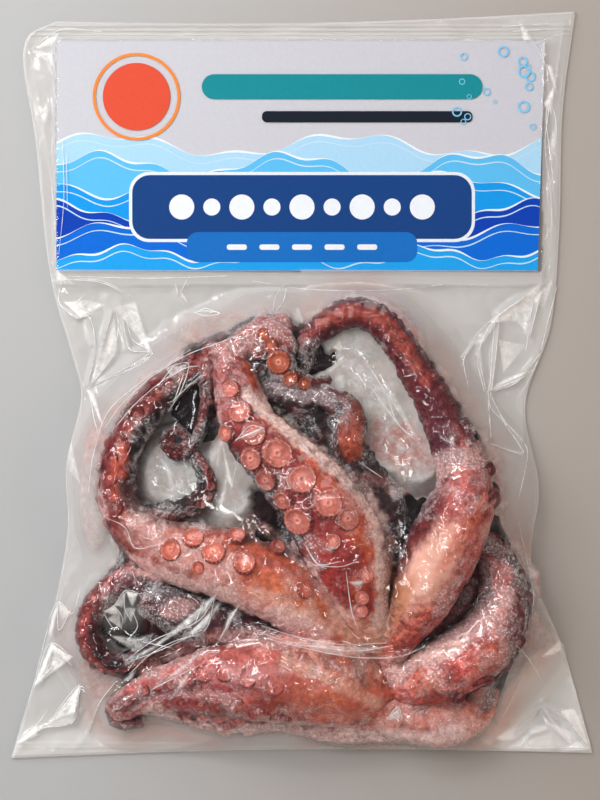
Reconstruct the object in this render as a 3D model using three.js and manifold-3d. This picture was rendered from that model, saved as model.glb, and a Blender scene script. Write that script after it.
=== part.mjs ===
// A clear sealed bag of frozen cooked octopus arms, lying flat, with a printed header card inside its top.
// Millimetres. X runs across the bag, Y along it towards the header, Z up from the surface it lies on.
// The origin is the middle of the bag's footprint, at the underside.

import * as THREE from "three";
import { mergeVertices } from "three/addons/utils/BufferGeometryUtils.js";
import Module from "manifold-3d";

const wasm = await Module();
wasm.setup();

// Driving dimensions of the bag

const HEADER_THICKNESS = 2.6;
const MARGIN_THICKNESS = 1.6;
const HEADER_FOOT_Y = 42;
const HEADER_BLEND = 7;
const GRID_ROWS = 46;
const GRID_COLUMNS = 24;

// Side edges from the header corner down to the bottom corner, as [x, y]
const LEFT_EDGE = [
  [-98.5, 145], [-110, 138], [-106, 96], [-100, 42], [-91, 10],
  [-88, -4], [-94, -32], [-93.5, -58], [-102, -102], [-116, -149],
];
const RIGHT_EDGE = [
  [109, 149], [104, 110], [102.5, 60], [99, 23], [89, -8],
  [94.5, -41], [91.5, -72], [104.5, -106], [112, -132], [116, -147],
];
const END_BOW = 2.5;

// Pressed lines of the top and bottom seals
const SEAL_RIDGE = { length: 190, width: 0.8, foot: 0.5 };
const TOP_SEAL = { lines: [139.8, 141.6, 143.4], top: 3.1 };
const BOTTOM_SEAL = { lines: [-144.6, -143.2], top: 2.2 };

// Header card, as [x, y] corners, in a shallow pocket of the header
const CARD_CORNERS = [[-98, 45.5], [94, 45.5], [97, 137.5], [-98, 137.5]];
const CARD_THICKNESS = 0.8;
const CARD_GAP = 0.3;
const POCKET_FLOOR = 1.3;

// Film stretched from the arms down to the flat margin
const FILM_SLOPE = 0.85;
const SEAL_SLOPE = 1.3;
const CORE_SHARE = 0.82;

// Frozen liquid between the arms, as [x, y, radius along X, radius along Y, height]
const ICE_POOLS = [
  [24, 2, 21, 26, 8],
  [36, -18, 14, 18, 8.5],
  [-51, -33, 10, 11, 6],
  [-30, -38, 8, 14, 6.5],
  [-66, -94, 8, 10, 6],
];

// Arms, root to tip, as [x, y, height of the middle, half width, turn of the sucker side from straight up]
const ARMS = {
  front_arm: [
    [33.5, -110, 10, 5, 10], [28.5, -98.5, 14, 7.5, 12], [23.5, -84.5, 18, 11.5, 12],
    [18.5, -68, 20.5, 16, 12], [9.5, -50, 21.5, 16, 10], [-1, -38, 21, 14.5, 8],
    [-20.5, -16, 18, 11, 0], [-27, 3, 14.5, 8.2, -10], [-31, 14, 12.5, 5, -20],
  ],
  front_tip: [
    [-29, 10, 11, 3.6, 0], [-35.5, 13, 11, 3.6, 0], [-38, 4, 11, 3.4, -60], [-37.5, -8, 11, 3.2, -60],
    [-39.5, -16, 10.6, 2.9, -60], [-42.9, -22.8, 10.2, 2.5, -60],
  ],
  left_arm: [
    [29.5, -110, 9, 6, -5], [17, -101, 13, 9, -8], [4, -89.5, 15.5, 13, -8], [-8.5, -80, 17, 14.5, -8],
    [-33, -70, 16, 14, -5], [-58, -63.5, 12, 11, 10], [-72.5, -47.5, 10, 9, 50], [-71.5, -26, 10, 8, 55],
    [-58, -5, 10, 7.3, 45], [-41.5, 8.5, 9.5, 4.8, 30], [-36, 12, 9, 3, 20],
  ],
  right_arm: [
    [35.5, -110, 10, 6, -60], [40, -98.5, 14, 9.5, -75], [46.5, -86, 17, 14, -90], [54, -70, 18, 17, -95],
    [61.5, -54, 17, 16.5, -92], [65.5, -41.5, 14.5, 14, -88], [58, -18, 11.5, 10, -80], [46, 5, 10.5, 8, -75],
    [31.5, 25, 10, 7, -80], [21, 29, 9.5, 6.8, -90], [3, 18.5, 9, 5.2, -110], [-1, 2.5, 9, 3, -120],
  ],
  lower_right_arm: [
    [30, -118.5, 9, 8, -70], [43.5, -118, 12, 11.5, -82], [59, -112.5, 14, 15, -85],
    [73, -102.5, 15, 15, -85], [79.5, -89.5, 14, 13, -85], [80, -77, 12, 10.8, -88],
    [74, -65, 9, 7.5, -95], [59, -57.5, 6, 4, -100],
  ],
  bottom_arm: [
    [39, -121, 9, 8, 40], [19.5, -122.5, 13, 15, 45], [3, -119, 15, 17.5, 40],
    [-13.5, -116.5, 15.5, 17.5, 30], [-29, -116.5, 14, 15, 15], [-58, -121.5, 9.5, 8.5, 10],
    [-74, -129, 7, 5, 20],
  ],
  bottom_tip: [[-75.5, -127, 6, 3.2, 30], [-73, -134, 5, 3.2, 40], [-64, -134, 4, 2.5, 40]],
  under_arm: [
    [27, -125, 8, 9, 150], [43, -131.5, 9, 10.5, 170], [58, -133.5, 8.5, 9.5, 170], [69, -130, 7.5, 7.5, 160],
    [73, -121, 7, 5.5, 150],
  ],
  loop_root: [
    [17, -112.5, 7, 8, 180], [-5, -107, 8, 9, 180], [-24.5, -97, 9.5, 9.5, 180], [-42.5, -93, 11, 10, 180],
    [-60, -84, 11, 7.5, 190],
  ],
  loop_arm: [
    [-58, -80, 10, 6.5, -120], [-69, -76.5, 10.5, 6, -90], [-77.5, -82, 9.5, 5.5, -60],
    [-83.5, -90, 9, 5.5, -60], [-85, -99.5, 9, 5.2, -60], [-81, -108, 8.5, 5, -70],
    [-73, -111, 8, 4.5, -90], [-57, -102, 7, 2.5, -100],
  ],
  back_arm: [
    [35, -105.5, 7, 8, 180], [35.5, -65.5, 8, 10.5, 180], [27.5, -45, 6.5, 11, 180], [3, -12, 4.5, 11, 180],
    [-17, 9, 5.5, 9, 180], [-20, 17, 6, 5, 180],
  ],
  small_arm: [
    [-19, 14, 11, 6, 0], [-14, 20.5, 12.5, 5.5, 0], [-7.5, 17, 14, 5, 0], [-8.5, 8, 15, 5.2, 0],
    [-2, 1.5, 14.5, 4.4, 0], [7, 0.5, 13.5, 3.4, 0], [12.5, 5.5, 12, 1.6, 0],
  ],
  curl_arm: [
    [25.5, -40, 8, 6, 0], [18.5, -25, 12.5, 7.5, 0], [19.5, -12.5, 13, 6.5, 0], [10, -5.5, 13, 5.5, 0],
    [-4, -3.5, 13, 5, 0], [-15, -2, 12.5, 4, 0],
  ],
  ring_arm: [
    [-73, -52, 6, 6, -90], [-49, -49.5, 8.4, 4.6, -70], [-40.5, -46, 8.8, 4.4, -60],
    [-37.5, -38.5, 9, 4, -60], [-42, -28, 9, 2.8, -60],
  ],
  pale_lobe: [
    [-17.5, -105.5, 14, 5, 180], [-1, -106, 17.5, 9, 180], [15, -110.5, 17, 10, 180],
    [27, -117.5, 12, 7, 180],
  ],
  foot_arm: [
    [34, -132, 7, 7, 20], [14, -134.5, 8, 7.5, 25], [-8, -130.5, 8.5, 6.5, 25], [-26, -132, 8.5, 7, 25],
    [-43, -130, 7.5, 6, 25], [-54, -127.5, 6, 4, 25],
  ],
  bridge_arm: [[-33, 9, 10, 5, 0], [-24, 15, 11.5, 6, 0], [-15, 21.5, 11.5, 5.5, 0], [-7, 24, 10, 4, 0]],
};

// Curled end of the front arm's tip, from its outer end inwards
const COIL = {
  x: -49.2, y: -22.2, height: 10, start: -10, turns: -1.6, stations: 11,
  radius: 6.2, innerRadius: 2, halfWidth: 2.4, innerHalfWidth: 1.2,
};

// Measured suckers of the two arms that lie with their sucker side up, as [x, y, diameter]
const FRONT_SUCKERS = [
  [-31, 9, 5.5], [-28.5, -3.5, 6.5], [-24, -12, 8], [-29, -19, 6], [-18, -19.5, 8.5], [-8, -27, 10],
  [-18.5, -29, 8], [2, -36.5, 10], [-12.5, -37, 7.5], [-6, -44, 7], [12, -45, 10], [0, -51.5, 10],
  [19.5, -50.5, 8], [14, -59, 5.5], [26.5, -72, 5.5], [25, -80.5, 5], [24, -86, 5.5],
];
const LEFT_SUCKERS = [
  [-50, -64.5, 7.5], [-41.5, -60.5, 7], [-34, -66, 8], [-26, -60.5, 6.5], [-22.5, -70.5, 8],
  [-39, -72.5, 4.5], [-10, -65.5, 5.5], [0, -80.5, 6],
];

// Rows of suckers on the other arms, as shares of the arm's length from root to tip
const SUCKER_ROWS = {
  left_arm: [0.62, 0.97],
  right_arm: [0.36, 0.9],
  lower_right_arm: [0.35, 0.85],
  bottom_arm: [0.4, 0.95],
  loop_arm: [0.2, 0.75],
  small_arm: [0.2, 0.75],
  foot_arm: [0.3, 0.9],
};

// Arm sections: height against width on the sucker side and on the back, and how the ends close
const ARM_SIDES = 8;
const ARM_STEP = 8;
const ORAL_FLATNESS = 0.78;
const BACK_FLATNESS = 0.92;
const END_RING = { scale: 0.6, ahead: 0.45 };
const END_POINT = 0.65;

// Suckers in rows: size against the arm's half width, angle off its middle, and how far round they reach
const SUCKER_SIDES = 7;
const SMALLEST_SUCKER = 1.4;
const LARGEST_SUCKER = 4.2;
const ROW_SUCKER_SHARE = 0.4;
const ROW_SUCKER_ANGLE = 0.5;
const WIDEST_PLACE = 0.85;
const LOWEST_SUCKER = 0.6;

// Room above the surface that the bag lies on
const ROOM = { side: 400, height: 100 };

// Materials

const filmMaterial = new THREE.MeshStandardMaterial({ color: 0x8c3f3a, roughness: 0.25, metalness: 0 });
const cardMaterial = new THREE.MeshStandardMaterial({ color: 0x5aa9e0, roughness: 0.35, metalness: 0 });

// Solids

function solidOf(geometry) {
  const plain = new THREE.BufferGeometry();
  plain.setAttribute("position", geometry.getAttribute("position").clone());
  if (geometry.index) plain.setIndex(geometry.index.clone());
  const welded = mergeVertices(plain, 1e-4);
  const index = [];
  for (let i = 0; i < welded.index.count; i += 3) {
    const [a, b, c] = [0, 1, 2].map((k) => welded.index.getX(i + k));
    if (a !== b && b !== c && a !== c) index.push(a, b, c);
  }
  return new wasm.Manifold(new wasm.Mesh({
    numProp: 3,
    vertProperties: new Float32Array(welded.getAttribute("position").array),
    triVerts: new Uint32Array(index),
  }));
}

// The largest closed body of a solid, without loose scraps or sealed hollows
function mainBody(solid) {
  return solid.decompose().reduce((a, b) => (a.volume() > b.volume() ? a : b));
}

function meshOf(solid, name, material) {
  const { vertProperties, triVerts } = solid.getMesh();
  const geometry = new THREE.BufferGeometry();
  geometry.setAttribute("position", new THREE.BufferAttribute(new Float32Array(vertProperties), 3));
  geometry.setIndex(new THREE.BufferAttribute(new Uint32Array(triVerts), 1));
  geometry.computeVertexNormals();
  const mesh = new THREE.Mesh(geometry, material);
  mesh.name = name;
  return mesh;
}

// Arms

function coilStations() {
  return Array.from({ length: COIL.stations }, (_, i) => {
    const t = i / (COIL.stations - 1);
    const turn = THREE.MathUtils.degToRad(COIL.start) + t * COIL.turns * 2 * Math.PI;
    const radius = THREE.MathUtils.lerp(COIL.radius, COIL.innerRadius, t);
    const halfWidth = THREE.MathUtils.lerp(COIL.halfWidth, COIL.innerHalfWidth, t);
    const x = COIL.x + radius * Math.cos(turn);
    const y = COIL.y + radius * Math.sin(turn);
    return [x, y, COIL.height + t, halfWidth, 0];
  });
}

// Evenly spaced stations along an arm, each with its own axes
function samplesOf(stations) {
  const path = new THREE.CatmullRomCurve3(stations.map(([x, y, z]) => new THREE.Vector3(x, y, z)));
  const shape = new THREE.CatmullRomCurve3(stations.map(([, , , w, roll]) => new THREE.Vector3(w, roll, 0)));
  const count = Math.max(4, Math.ceil(path.getLength() / ARM_STEP));
  return Array.from({ length: count + 1 }, (_, i) => {
    const t = path.getUtoTmapping(i / count);
    const centre = path.getPoint(t);
    const along = path.getTangent(t);
    const aside = new THREE.Vector3(0, 0, 1).cross(along).normalize();
    const above = along.clone().cross(aside);
    const { x: halfWidth, y: roll } = shape.getPoint(t);
    const turn = THREE.MathUtils.degToRad(roll);
    const oral = above.clone().multiplyScalar(Math.cos(turn)).addScaledVector(aside, Math.sin(turn));
    const lateral = aside.clone().multiplyScalar(Math.cos(turn)).addScaledVector(above, -Math.sin(turn));
    return { centre, along, oral, lateral, halfWidth };
  });
}

// Point of an arm's skin at an angle from the middle of its sucker side, flatter on that side
function skinPoint(sample, angle, scale = 1, ahead = 0) {
  const flatness = Math.cos(angle) > 0 ? ORAL_FLATNESS : BACK_FLATNESS;
  return sample.centre.clone()
    .addScaledVector(sample.lateral, Math.sin(angle) * sample.halfWidth * scale)
    .addScaledVector(sample.oral, Math.cos(angle) * sample.halfWidth * scale * flatness)
    .addScaledVector(sample.along, ahead);
}

function armSolid(stations) {
  const samples = samplesOf(stations);
  const first = samples[0];
  const last = samples[samples.length - 1];
  const rings = [
    [first, END_RING.scale, -END_RING.ahead * first.halfWidth],
    ...samples.map((sample) => [sample, 1, 0]),
    [last, END_RING.scale, END_RING.ahead * last.halfWidth],
  ];
  const points = [];
  for (const [sample, scale, ahead] of rings) {
    for (let k = 0; k < ARM_SIDES; k += 1) {
      points.push(skinPoint(sample, (k / ARM_SIDES) * 2 * Math.PI, scale, ahead));
    }
  }
  const root = points.push(skinPoint(first, 0, 0, -END_POINT * first.halfWidth)) - 1;
  const tip = points.push(skinPoint(last, 0, 0, END_POINT * last.halfWidth)) - 1;
  const index = [];
  const lastRing = (rings.length - 1) * ARM_SIDES;
  for (let k = 0; k < ARM_SIDES; k += 1) {
    const next = (k + 1) % ARM_SIDES;
    for (let ring = 0; ring < lastRing; ring += ARM_SIDES) {
      const [a, b] = [ring + k, ring + next];
      const [c, d] = [a + ARM_SIDES, b + ARM_SIDES];
      index.push(a, c, b, b, c, d);
    }
    index.push(root, k, next, tip, lastRing + next, lastRing + k);
  }
  const geometry = new THREE.BufferGeometry().setFromPoints(points);
  geometry.setIndex(index);
  const solid = solidOf(geometry);
  if (solid.volume() > 0) return solid;
  geometry.setIndex(index.reverse());
  return solidOf(geometry);
}

// Suckers

// Root, edge, dish and middle of a cup of unit radius
const CUP_PROFILE = [[0, -0.75], [1, 0.28], [0.5, 0.14], [0, 0.02]];
const cupOutline = CUP_PROFILE.map(([r, z]) => new THREE.Vector2(r, z));

function suckerSolid(base, outward, radius) {
  const cup = new THREE.LatheGeometry(cupOutline, SUCKER_SIDES);
  const turn = new THREE.Quaternion().setFromUnitVectors(new THREE.Vector3(0, 1, 0), outward);
  cup.applyMatrix4(new THREE.Matrix4().compose(base, turn, new THREE.Vector3(radius, radius, radius)));
  const solid = solidOf(cup);
  if (solid.volume() > 0) return solid;
  cup.setIndex(Array.from(cup.index.array).reverse());
  return solidOf(cup);
}

// A sucker at a place read from above, set on the nearest stretch of its arm
function placedSucker(samples, [x, y, diameter]) {
  const distance = (s) => Math.hypot(s.centre.x - x, s.centre.y - y);
  const near = samples.reduce((a, b) => (distance(a) < distance(b) ? a : b));
  const aside = (x - near.centre.x) * near.lateral.x + (y - near.centre.y) * near.lateral.y;
  const angle = Math.asin(THREE.MathUtils.clamp(aside / near.halfWidth, -WIDEST_PLACE, WIDEST_PLACE));
  const base = skinPoint(near, angle);
  const ahead = (x - base.x) * near.along.x + (y - base.y) * near.along.y;
  base.addScaledVector(near.along, ahead);
  const outward = base.clone().sub(near.centre).addScaledVector(near.along, -ahead).normalize();
  return suckerSolid(base, outward, diameter / 2);
}

// Two staggered rows of suckers that shrink with the arm
function suckerRow(samples, [from, to]) {
  const solids = [];
  for (let i = Math.ceil(from * samples.length), side = 1; i < to * samples.length; i += 1, side = -side) {
    const sample = samples[i];
    const share = sample.halfWidth * ROW_SUCKER_SHARE;
    const radius = THREE.MathUtils.clamp(share, SMALLEST_SUCKER, LARGEST_SUCKER);
    const base = skinPoint(sample, side * ROW_SUCKER_ANGLE);
    const outward = base.clone().sub(sample.centre).normalize();
    const lowest = sample.centre.z - LOWEST_SUCKER * sample.halfWidth;
    if (base.z > lowest) solids.push(suckerSolid(base, outward, radius));
  }
  return solids;
}

// Bag film and flat seals

function edgePoints(edge) {
  const corners = edge.map(([x, y]) => new THREE.Vector3(x, y, 0));
  return new THREE.CatmullRomCurve3(corners, false, "chordal").getSpacedPoints(GRID_ROWS);
}

// Height of the film over a place, as it falls away from the arms and the ice, down to the sealed edge
function filmHeight(x, y, fromEdge, samples) {
  const header = THREE.MathUtils.smoothstep(y, HEADER_FOOT_Y - HEADER_BLEND, HEADER_FOOT_Y);
  const flat = MARGIN_THICKNESS + header * (HEADER_THICKNESS - MARGIN_THICKNESS);
  let height = flat;
  if (header === 1) return height;
  for (const { centre, halfWidth } of samples) {
    const beyond = Math.max(0, Math.hypot(centre.x - x, centre.y - y) - halfWidth);
    height = Math.max(height, centre.z * CORE_SHARE - FILM_SLOPE * beyond);
  }
  for (const [px, py, rx, ry, top] of ICE_POOLS) {
    const beyond = Math.max(0, Math.hypot((x - px) / rx, (y - py) / ry) - 1) * Math.min(rx, ry);
    height = Math.max(height, top - FILM_SLOPE * beyond);
  }
  return Math.min(height, flat + SEAL_SLOPE * fromEdge);
}

function filmSolid(samples) {
  const [left, right] = [edgePoints(LEFT_EDGE), edgePoints(RIGHT_EDGE)];
  const points = [];
  for (let row = 0; row <= GRID_ROWS; row += 1) {
    for (let column = 0; column <= GRID_COLUMNS; column += 1) {
      const across = column / GRID_COLUMNS;
      const edge = Number(row === GRID_ROWS) - Number(row === 0);
      const x = THREE.MathUtils.lerp(left[row].x, right[row].x, across);
      const level = THREE.MathUtils.lerp(left[row].y, right[row].y, across);
      const y = level + edge * END_BOW * Math.sin(Math.PI * across);
      const fromSide = Math.min(across, 1 - across) * (right[row].x - left[row].x);
      const fromFoot = level - THREE.MathUtils.lerp(left[GRID_ROWS].y, right[GRID_ROWS].y, across);
      points.push(new THREE.Vector3(x, y, filmHeight(x, y, Math.min(fromSide, fromFoot), samples)));
    }
  }
  const index = [];
  const stride = GRID_COLUMNS + 1;
  for (let row = 0; row < GRID_ROWS; row += 1) {
    for (let column = 0; column < GRID_COLUMNS; column += 1) {
      const a = row * stride + column;
      const [b, c, d] = [a + 1, a + stride, a + stride + 1];
      index.push(a, c, b, b, c, d);
    }
  }
  const rim = [];
  for (let row = 0; row < GRID_ROWS; row += 1) rim.push(row * stride);
  for (let column = 0; column < GRID_COLUMNS; column += 1) rim.push(GRID_ROWS * stride + column);
  for (let row = GRID_ROWS; row > 0; row -= 1) rim.push(row * stride + GRID_COLUMNS);
  for (let column = GRID_COLUMNS; column > 0; column -= 1) rim.push(column);
  const foot = rim.map((i) => points.push(new THREE.Vector3(points[i].x, points[i].y, 0)) - 1);
  rim.forEach((top, i) => {
    const next = (i + 1) % rim.length;
    index.push(top, foot[i], foot[next], top, foot[next], rim[next]);
  });
  const outline = foot.map((i) => new THREE.Vector2(points[i].x, points[i].y));
  for (const [a, b, c] of THREE.ShapeUtils.triangulateShape(outline, [])) {
    const clockwise = outline[b].clone().sub(outline[a]).cross(outline[c].clone().sub(outline[a])) < 0;
    index.push(...(clockwise ? [foot[a], foot[b], foot[c]] : [foot[a], foot[c], foot[b]]));
  }
  const geometry = new THREE.BufferGeometry().setFromPoints(points);
  geometry.setIndex(index);
  return solidOf(geometry);
}

function sealRidges({ lines, top }) {
  return lines.map((y) => {
    const ridge = new THREE.BoxGeometry(SEAL_RIDGE.length, SEAL_RIDGE.width, top - SEAL_RIDGE.foot);
    ridge.translate(0, y, (top + SEAL_RIDGE.foot) / 2);
    return solidOf(ridge);
  });
}

// Header card

function cardSlab(grow, bottom, thickness) {
  const middle = new THREE.Box2().setFromPoints(CARD_CORNERS.map(([x, y]) => new THREE.Vector2(x, y)))
    .getCenter(new THREE.Vector2());
  const corners = CARD_CORNERS.map(([x, y]) => new THREE.Vector2(
    x + grow * Math.sign(x - middle.x),
    y + grow * Math.sign(y - middle.y),
  ));
  const slab = new THREE.ExtrudeGeometry(new THREE.Shape(corners), { depth: thickness, bevelEnabled: false });
  slab.translate(0, 0, bottom);
  return solidOf(slab);
}

// Assembly

const armSamples = Object.fromEntries(Object.entries(ARMS).map(([name, arm]) => [name, samplesOf(arm)]));
const rowedSuckers = Object.entries(SUCKER_ROWS)
  .flatMap(([name, share]) => suckerRow(armSamples[name], share));
const pieces = [
  ...Object.values(ARMS).map(armSolid),
  armSolid(coilStations()),
  ...FRONT_SUCKERS.map((sucker) => placedSucker(armSamples.front_arm, sucker)),
  ...LEFT_SUCKERS.map((sucker) => placedSucker(armSamples.left_arm, sucker)),
  ...rowedSuckers,
  ...sealRidges(TOP_SEAL),
  ...sealRidges(BOTTOM_SEAL),
];
const aboveSurface = new THREE.BoxGeometry(ROOM.side, ROOM.side, ROOM.height);
aboveSurface.translate(0, 0, ROOM.height / 2);

const bag = pieces
  .reduce((whole, piece) => whole.add(piece), filmSolid(Object.values(armSamples).flat()))
  .intersect(solidOf(aboveSurface))
  .subtract(cardSlab(CARD_GAP, POCKET_FLOOR, HEADER_THICKNESS));

const octopusBag = new THREE.Group();
octopusBag.name = "octopus_bag";
octopusBag.add(meshOf(mainBody(bag), "sealed_bag", filmMaterial));
octopusBag.add(meshOf(cardSlab(0, POCKET_FLOOR + CARD_GAP, CARD_THICKNESS), "header_card", cardMaterial));

export default octopusBag;
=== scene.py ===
import math

import bpy
import numpy as np
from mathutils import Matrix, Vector
from mathutils.bvhtree import BVHTree
from mathutils.geometry import delaunay_2d_cdt
from mathutils.kdtree import KDTree


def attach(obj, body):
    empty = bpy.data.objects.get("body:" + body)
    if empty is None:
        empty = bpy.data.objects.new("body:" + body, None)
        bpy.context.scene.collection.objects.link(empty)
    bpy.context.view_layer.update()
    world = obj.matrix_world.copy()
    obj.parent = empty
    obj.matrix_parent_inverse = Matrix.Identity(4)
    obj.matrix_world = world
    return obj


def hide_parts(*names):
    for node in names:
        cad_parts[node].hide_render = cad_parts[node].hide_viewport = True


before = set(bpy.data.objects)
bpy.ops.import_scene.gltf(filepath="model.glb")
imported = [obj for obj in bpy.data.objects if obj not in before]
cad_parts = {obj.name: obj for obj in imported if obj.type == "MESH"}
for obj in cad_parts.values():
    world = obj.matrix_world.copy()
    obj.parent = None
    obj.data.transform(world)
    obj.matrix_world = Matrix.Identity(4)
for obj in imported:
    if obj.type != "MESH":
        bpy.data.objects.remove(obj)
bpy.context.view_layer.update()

bpy.ops.object.select_all(action="DESELECT")

# The arms. Cooked octopus arms, frozen in a tangle with their roots together at the lower right.
# Each is one tapering limb of muscle and skin; those with the sucker side up show a paler flank.
# Rows are [x, y, height of the middle, half width, turn of the sucker side], in mm, root to tip.

MM = 0.001
ARM_PATHS = {
    "front_arm": [
        [33.5, -110, 10, 5, 10], [28.5, -98.5, 14, 7.5, 12], [23.5, -84.5, 18, 11.5, 12],
        [18.5, -68, 20.5, 16, 12], [9.5, -50, 21.5, 16, 10], [-1, -38, 21, 14.5, 8],
        [-20.5, -16, 18, 11, 0], [-27, 3, 14.5, 8.2, -10], [-31, 14, 12.5, 5, -20]],
    "front_tip": [
        [-29, 10, 11, 3.6, 0], [-35.5, 13, 11, 3.6, 0], [-38, 4, 11, 3.4, -60], [-37.5, -8, 11, 3.2, -60],
        [-39.5, -16, 10.6, 2.9, -60], [-42.9, -22.8, 10.2, 2.5, -60]],
    "left_arm": [
        [29.5, -110, 9, 6, -5], [17, -101, 13, 9, -8], [4, -89.5, 15.5, 13, -8],
        [-8.5, -80, 17, 14.5, -8], [-33, -70, 16, 14, -5], [-58, -63.5, 12, 11, 10],
        [-72.5, -47.5, 10, 9, 50], [-71.5, -26, 10, 8, 55], [-58, -5, 10, 7.3, 45],
        [-41.5, 8.5, 9.5, 4.8, 30], [-36, 12, 9, 3, 20]],
    "right_arm": [
        [35.5, -110, 10, 6, -60], [40, -98.5, 14, 9.5, -75], [46.5, -86, 17, 14, -90],
        [54, -70, 18, 17, -95], [61.5, -54, 17, 16.5, -92], [65.5, -41.5, 14.5, 14, -88],
        [58, -18, 11.5, 10, -80], [46, 5, 10.5, 8, -75], [31.5, 25, 10, 7, -80],
        [21, 29, 9.5, 6.8, -90], [3, 18.5, 9, 5.2, -110], [-1, 2.5, 9, 3, -120]],
    "lower_right_arm": [
        [30, -118.5, 9, 8, -70], [43.5, -118, 12, 11.5, -82], [59, -112.5, 14, 15, -85],
        [73, -102.5, 15, 15, -85], [79.5, -89.5, 14, 13, -85], [80, -77, 12, 10.8, -88],
        [74, -65, 9, 7.5, -95], [59, -57.5, 6, 4, -100]],
    "bottom_arm": [
        [39, -121, 9, 8, 40], [19.5, -122.5, 13, 15, 45], [3, -119, 15, 17.5, 40],
        [-13.5, -116.5, 15.5, 17.5, 30], [-29, -116.5, 14, 15, 15], [-58, -121.5, 9.5, 8.5, 10],
        [-74, -129, 7, 5, 20]],
    "bottom_tip": [[-75.5, -127, 6, 3.2, 30], [-73, -134, 5, 3.2, 40], [-64, -134, 4, 2.5, 40]],
    "under_arm": [
        [27, -125, 8, 9, 150], [43, -131.5, 9, 10.5, 170], [58, -133.5, 8.5, 9.5, 170],
        [69, -130, 7.5, 7.5, 160], [73, -121, 7, 5.5, 150]],
    "loop_root": [
        [17, -112.5, 7, 8, 180], [-5, -107, 8, 9, 180], [-24.5, -97, 9.5, 9.5, 180],
        [-42.5, -93, 11, 10, 180], [-60, -84, 11, 7.5, 190]],
    "loop_arm": [
        [-58, -80, 10, 6.5, -120], [-69, -76.5, 10.5, 6, -90], [-77.5, -82, 9.5, 5.5, -60],
        [-83.5, -90, 9, 5.5, -60], [-85, -99.5, 9, 5.2, -60], [-81, -108, 8.5, 5, -70],
        [-73, -111, 8, 4.5, -90], [-57, -102, 7, 2.5, -100]],
    "back_arm": [
        [35, -105.5, 7, 8, 180], [35.5, -65.5, 8, 10.5, 180], [27.5, -45, 6.5, 11, 180],
        [3, -12, 4.5, 11, 180], [-17, 9, 5.5, 9, 180], [-20, 17, 6, 5, 180]],
    "small_arm": [
        [-19, 14, 11, 6, 0], [-14, 20.5, 12.5, 5.5, 0], [-7.5, 17, 14, 5, 0], [-8.5, 8, 15, 5.2, 0],
        [-2, 1.5, 14.5, 4.4, 0], [6, 0, 13, 3, 0], [10.5, 2.5, 11, 1.6, 0]],
    "curl_arm": [
        [24.5, -38, 8, 4.5, 0], [18, -25, 12.5, 6.4, 0], [19, -12.5, 13, 6, 0], [10, -5.5, 13, 5.2, 0],
        [-4, -3.5, 13, 5, 0], [-15, -2, 12.5, 4, 0]],
    "ring_arm": [
        [-73, -52, 6, 6, -90], [-49, -49.5, 8.4, 4.6, -70], [-40.5, -46, 8.8, 4.4, -60],
        [-37.5, -38.5, 9, 4, -60], [-42, -28, 9, 2.8, -60]],
    "pale_lobe": [
        [-17.5, -105.5, 14, 5, 180], [-1, -106, 17.5, 9, 180], [15, -110.5, 17, 10, 180],
        [27, -117.5, 12, 7, 180]],
    "foot_arm": [
        [34, -132, 7, 7, 20], [14, -134.5, 8, 7.5, 25], [-8, -130.5, 8.5, 6.5, 25], [-26, -132, 8.5, 7, 25],
        [-43, -130, 7.5, 6, 25], [-54, -127.5, 6, 4, 25]],
    "bridge_arm": [[-33, 9, 10, 5, 0], [-24, 15, 11.5, 6, 0], [-15, 21.5, 11.5, 5.5, 0], [-7, 24, 10, 4, 0]],
}
COIL = {"x": -49.2, "y": -22.2, "height": 10, "radius": 6.2, "inner_radius": 2, "turns": -1.6,
        "half_width": 2.4, "inner_half_width": 1.2, "start": -10, "stations": 11}

# Cooked colours, as red, green and blue out of 255
DEEP = (120, 38, 42)
RED = (156, 60, 58)
PINK = (196, 106, 100)
PALE = (218, 178, 168)
PEACH = (238, 194, 174)
ORANGE = (202, 104, 78)
TAN = (192, 116, 94)
AMBER = (198, 140, 100)
PURPLE = (84, 36, 48)
BLACK = (28, 20, 25)
RIMED = (208, 150, 142)
CORAL_ICE = (184, 104, 98)
NIGHT = (44, 18, 28)
WINE = (82, 26, 42)

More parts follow.
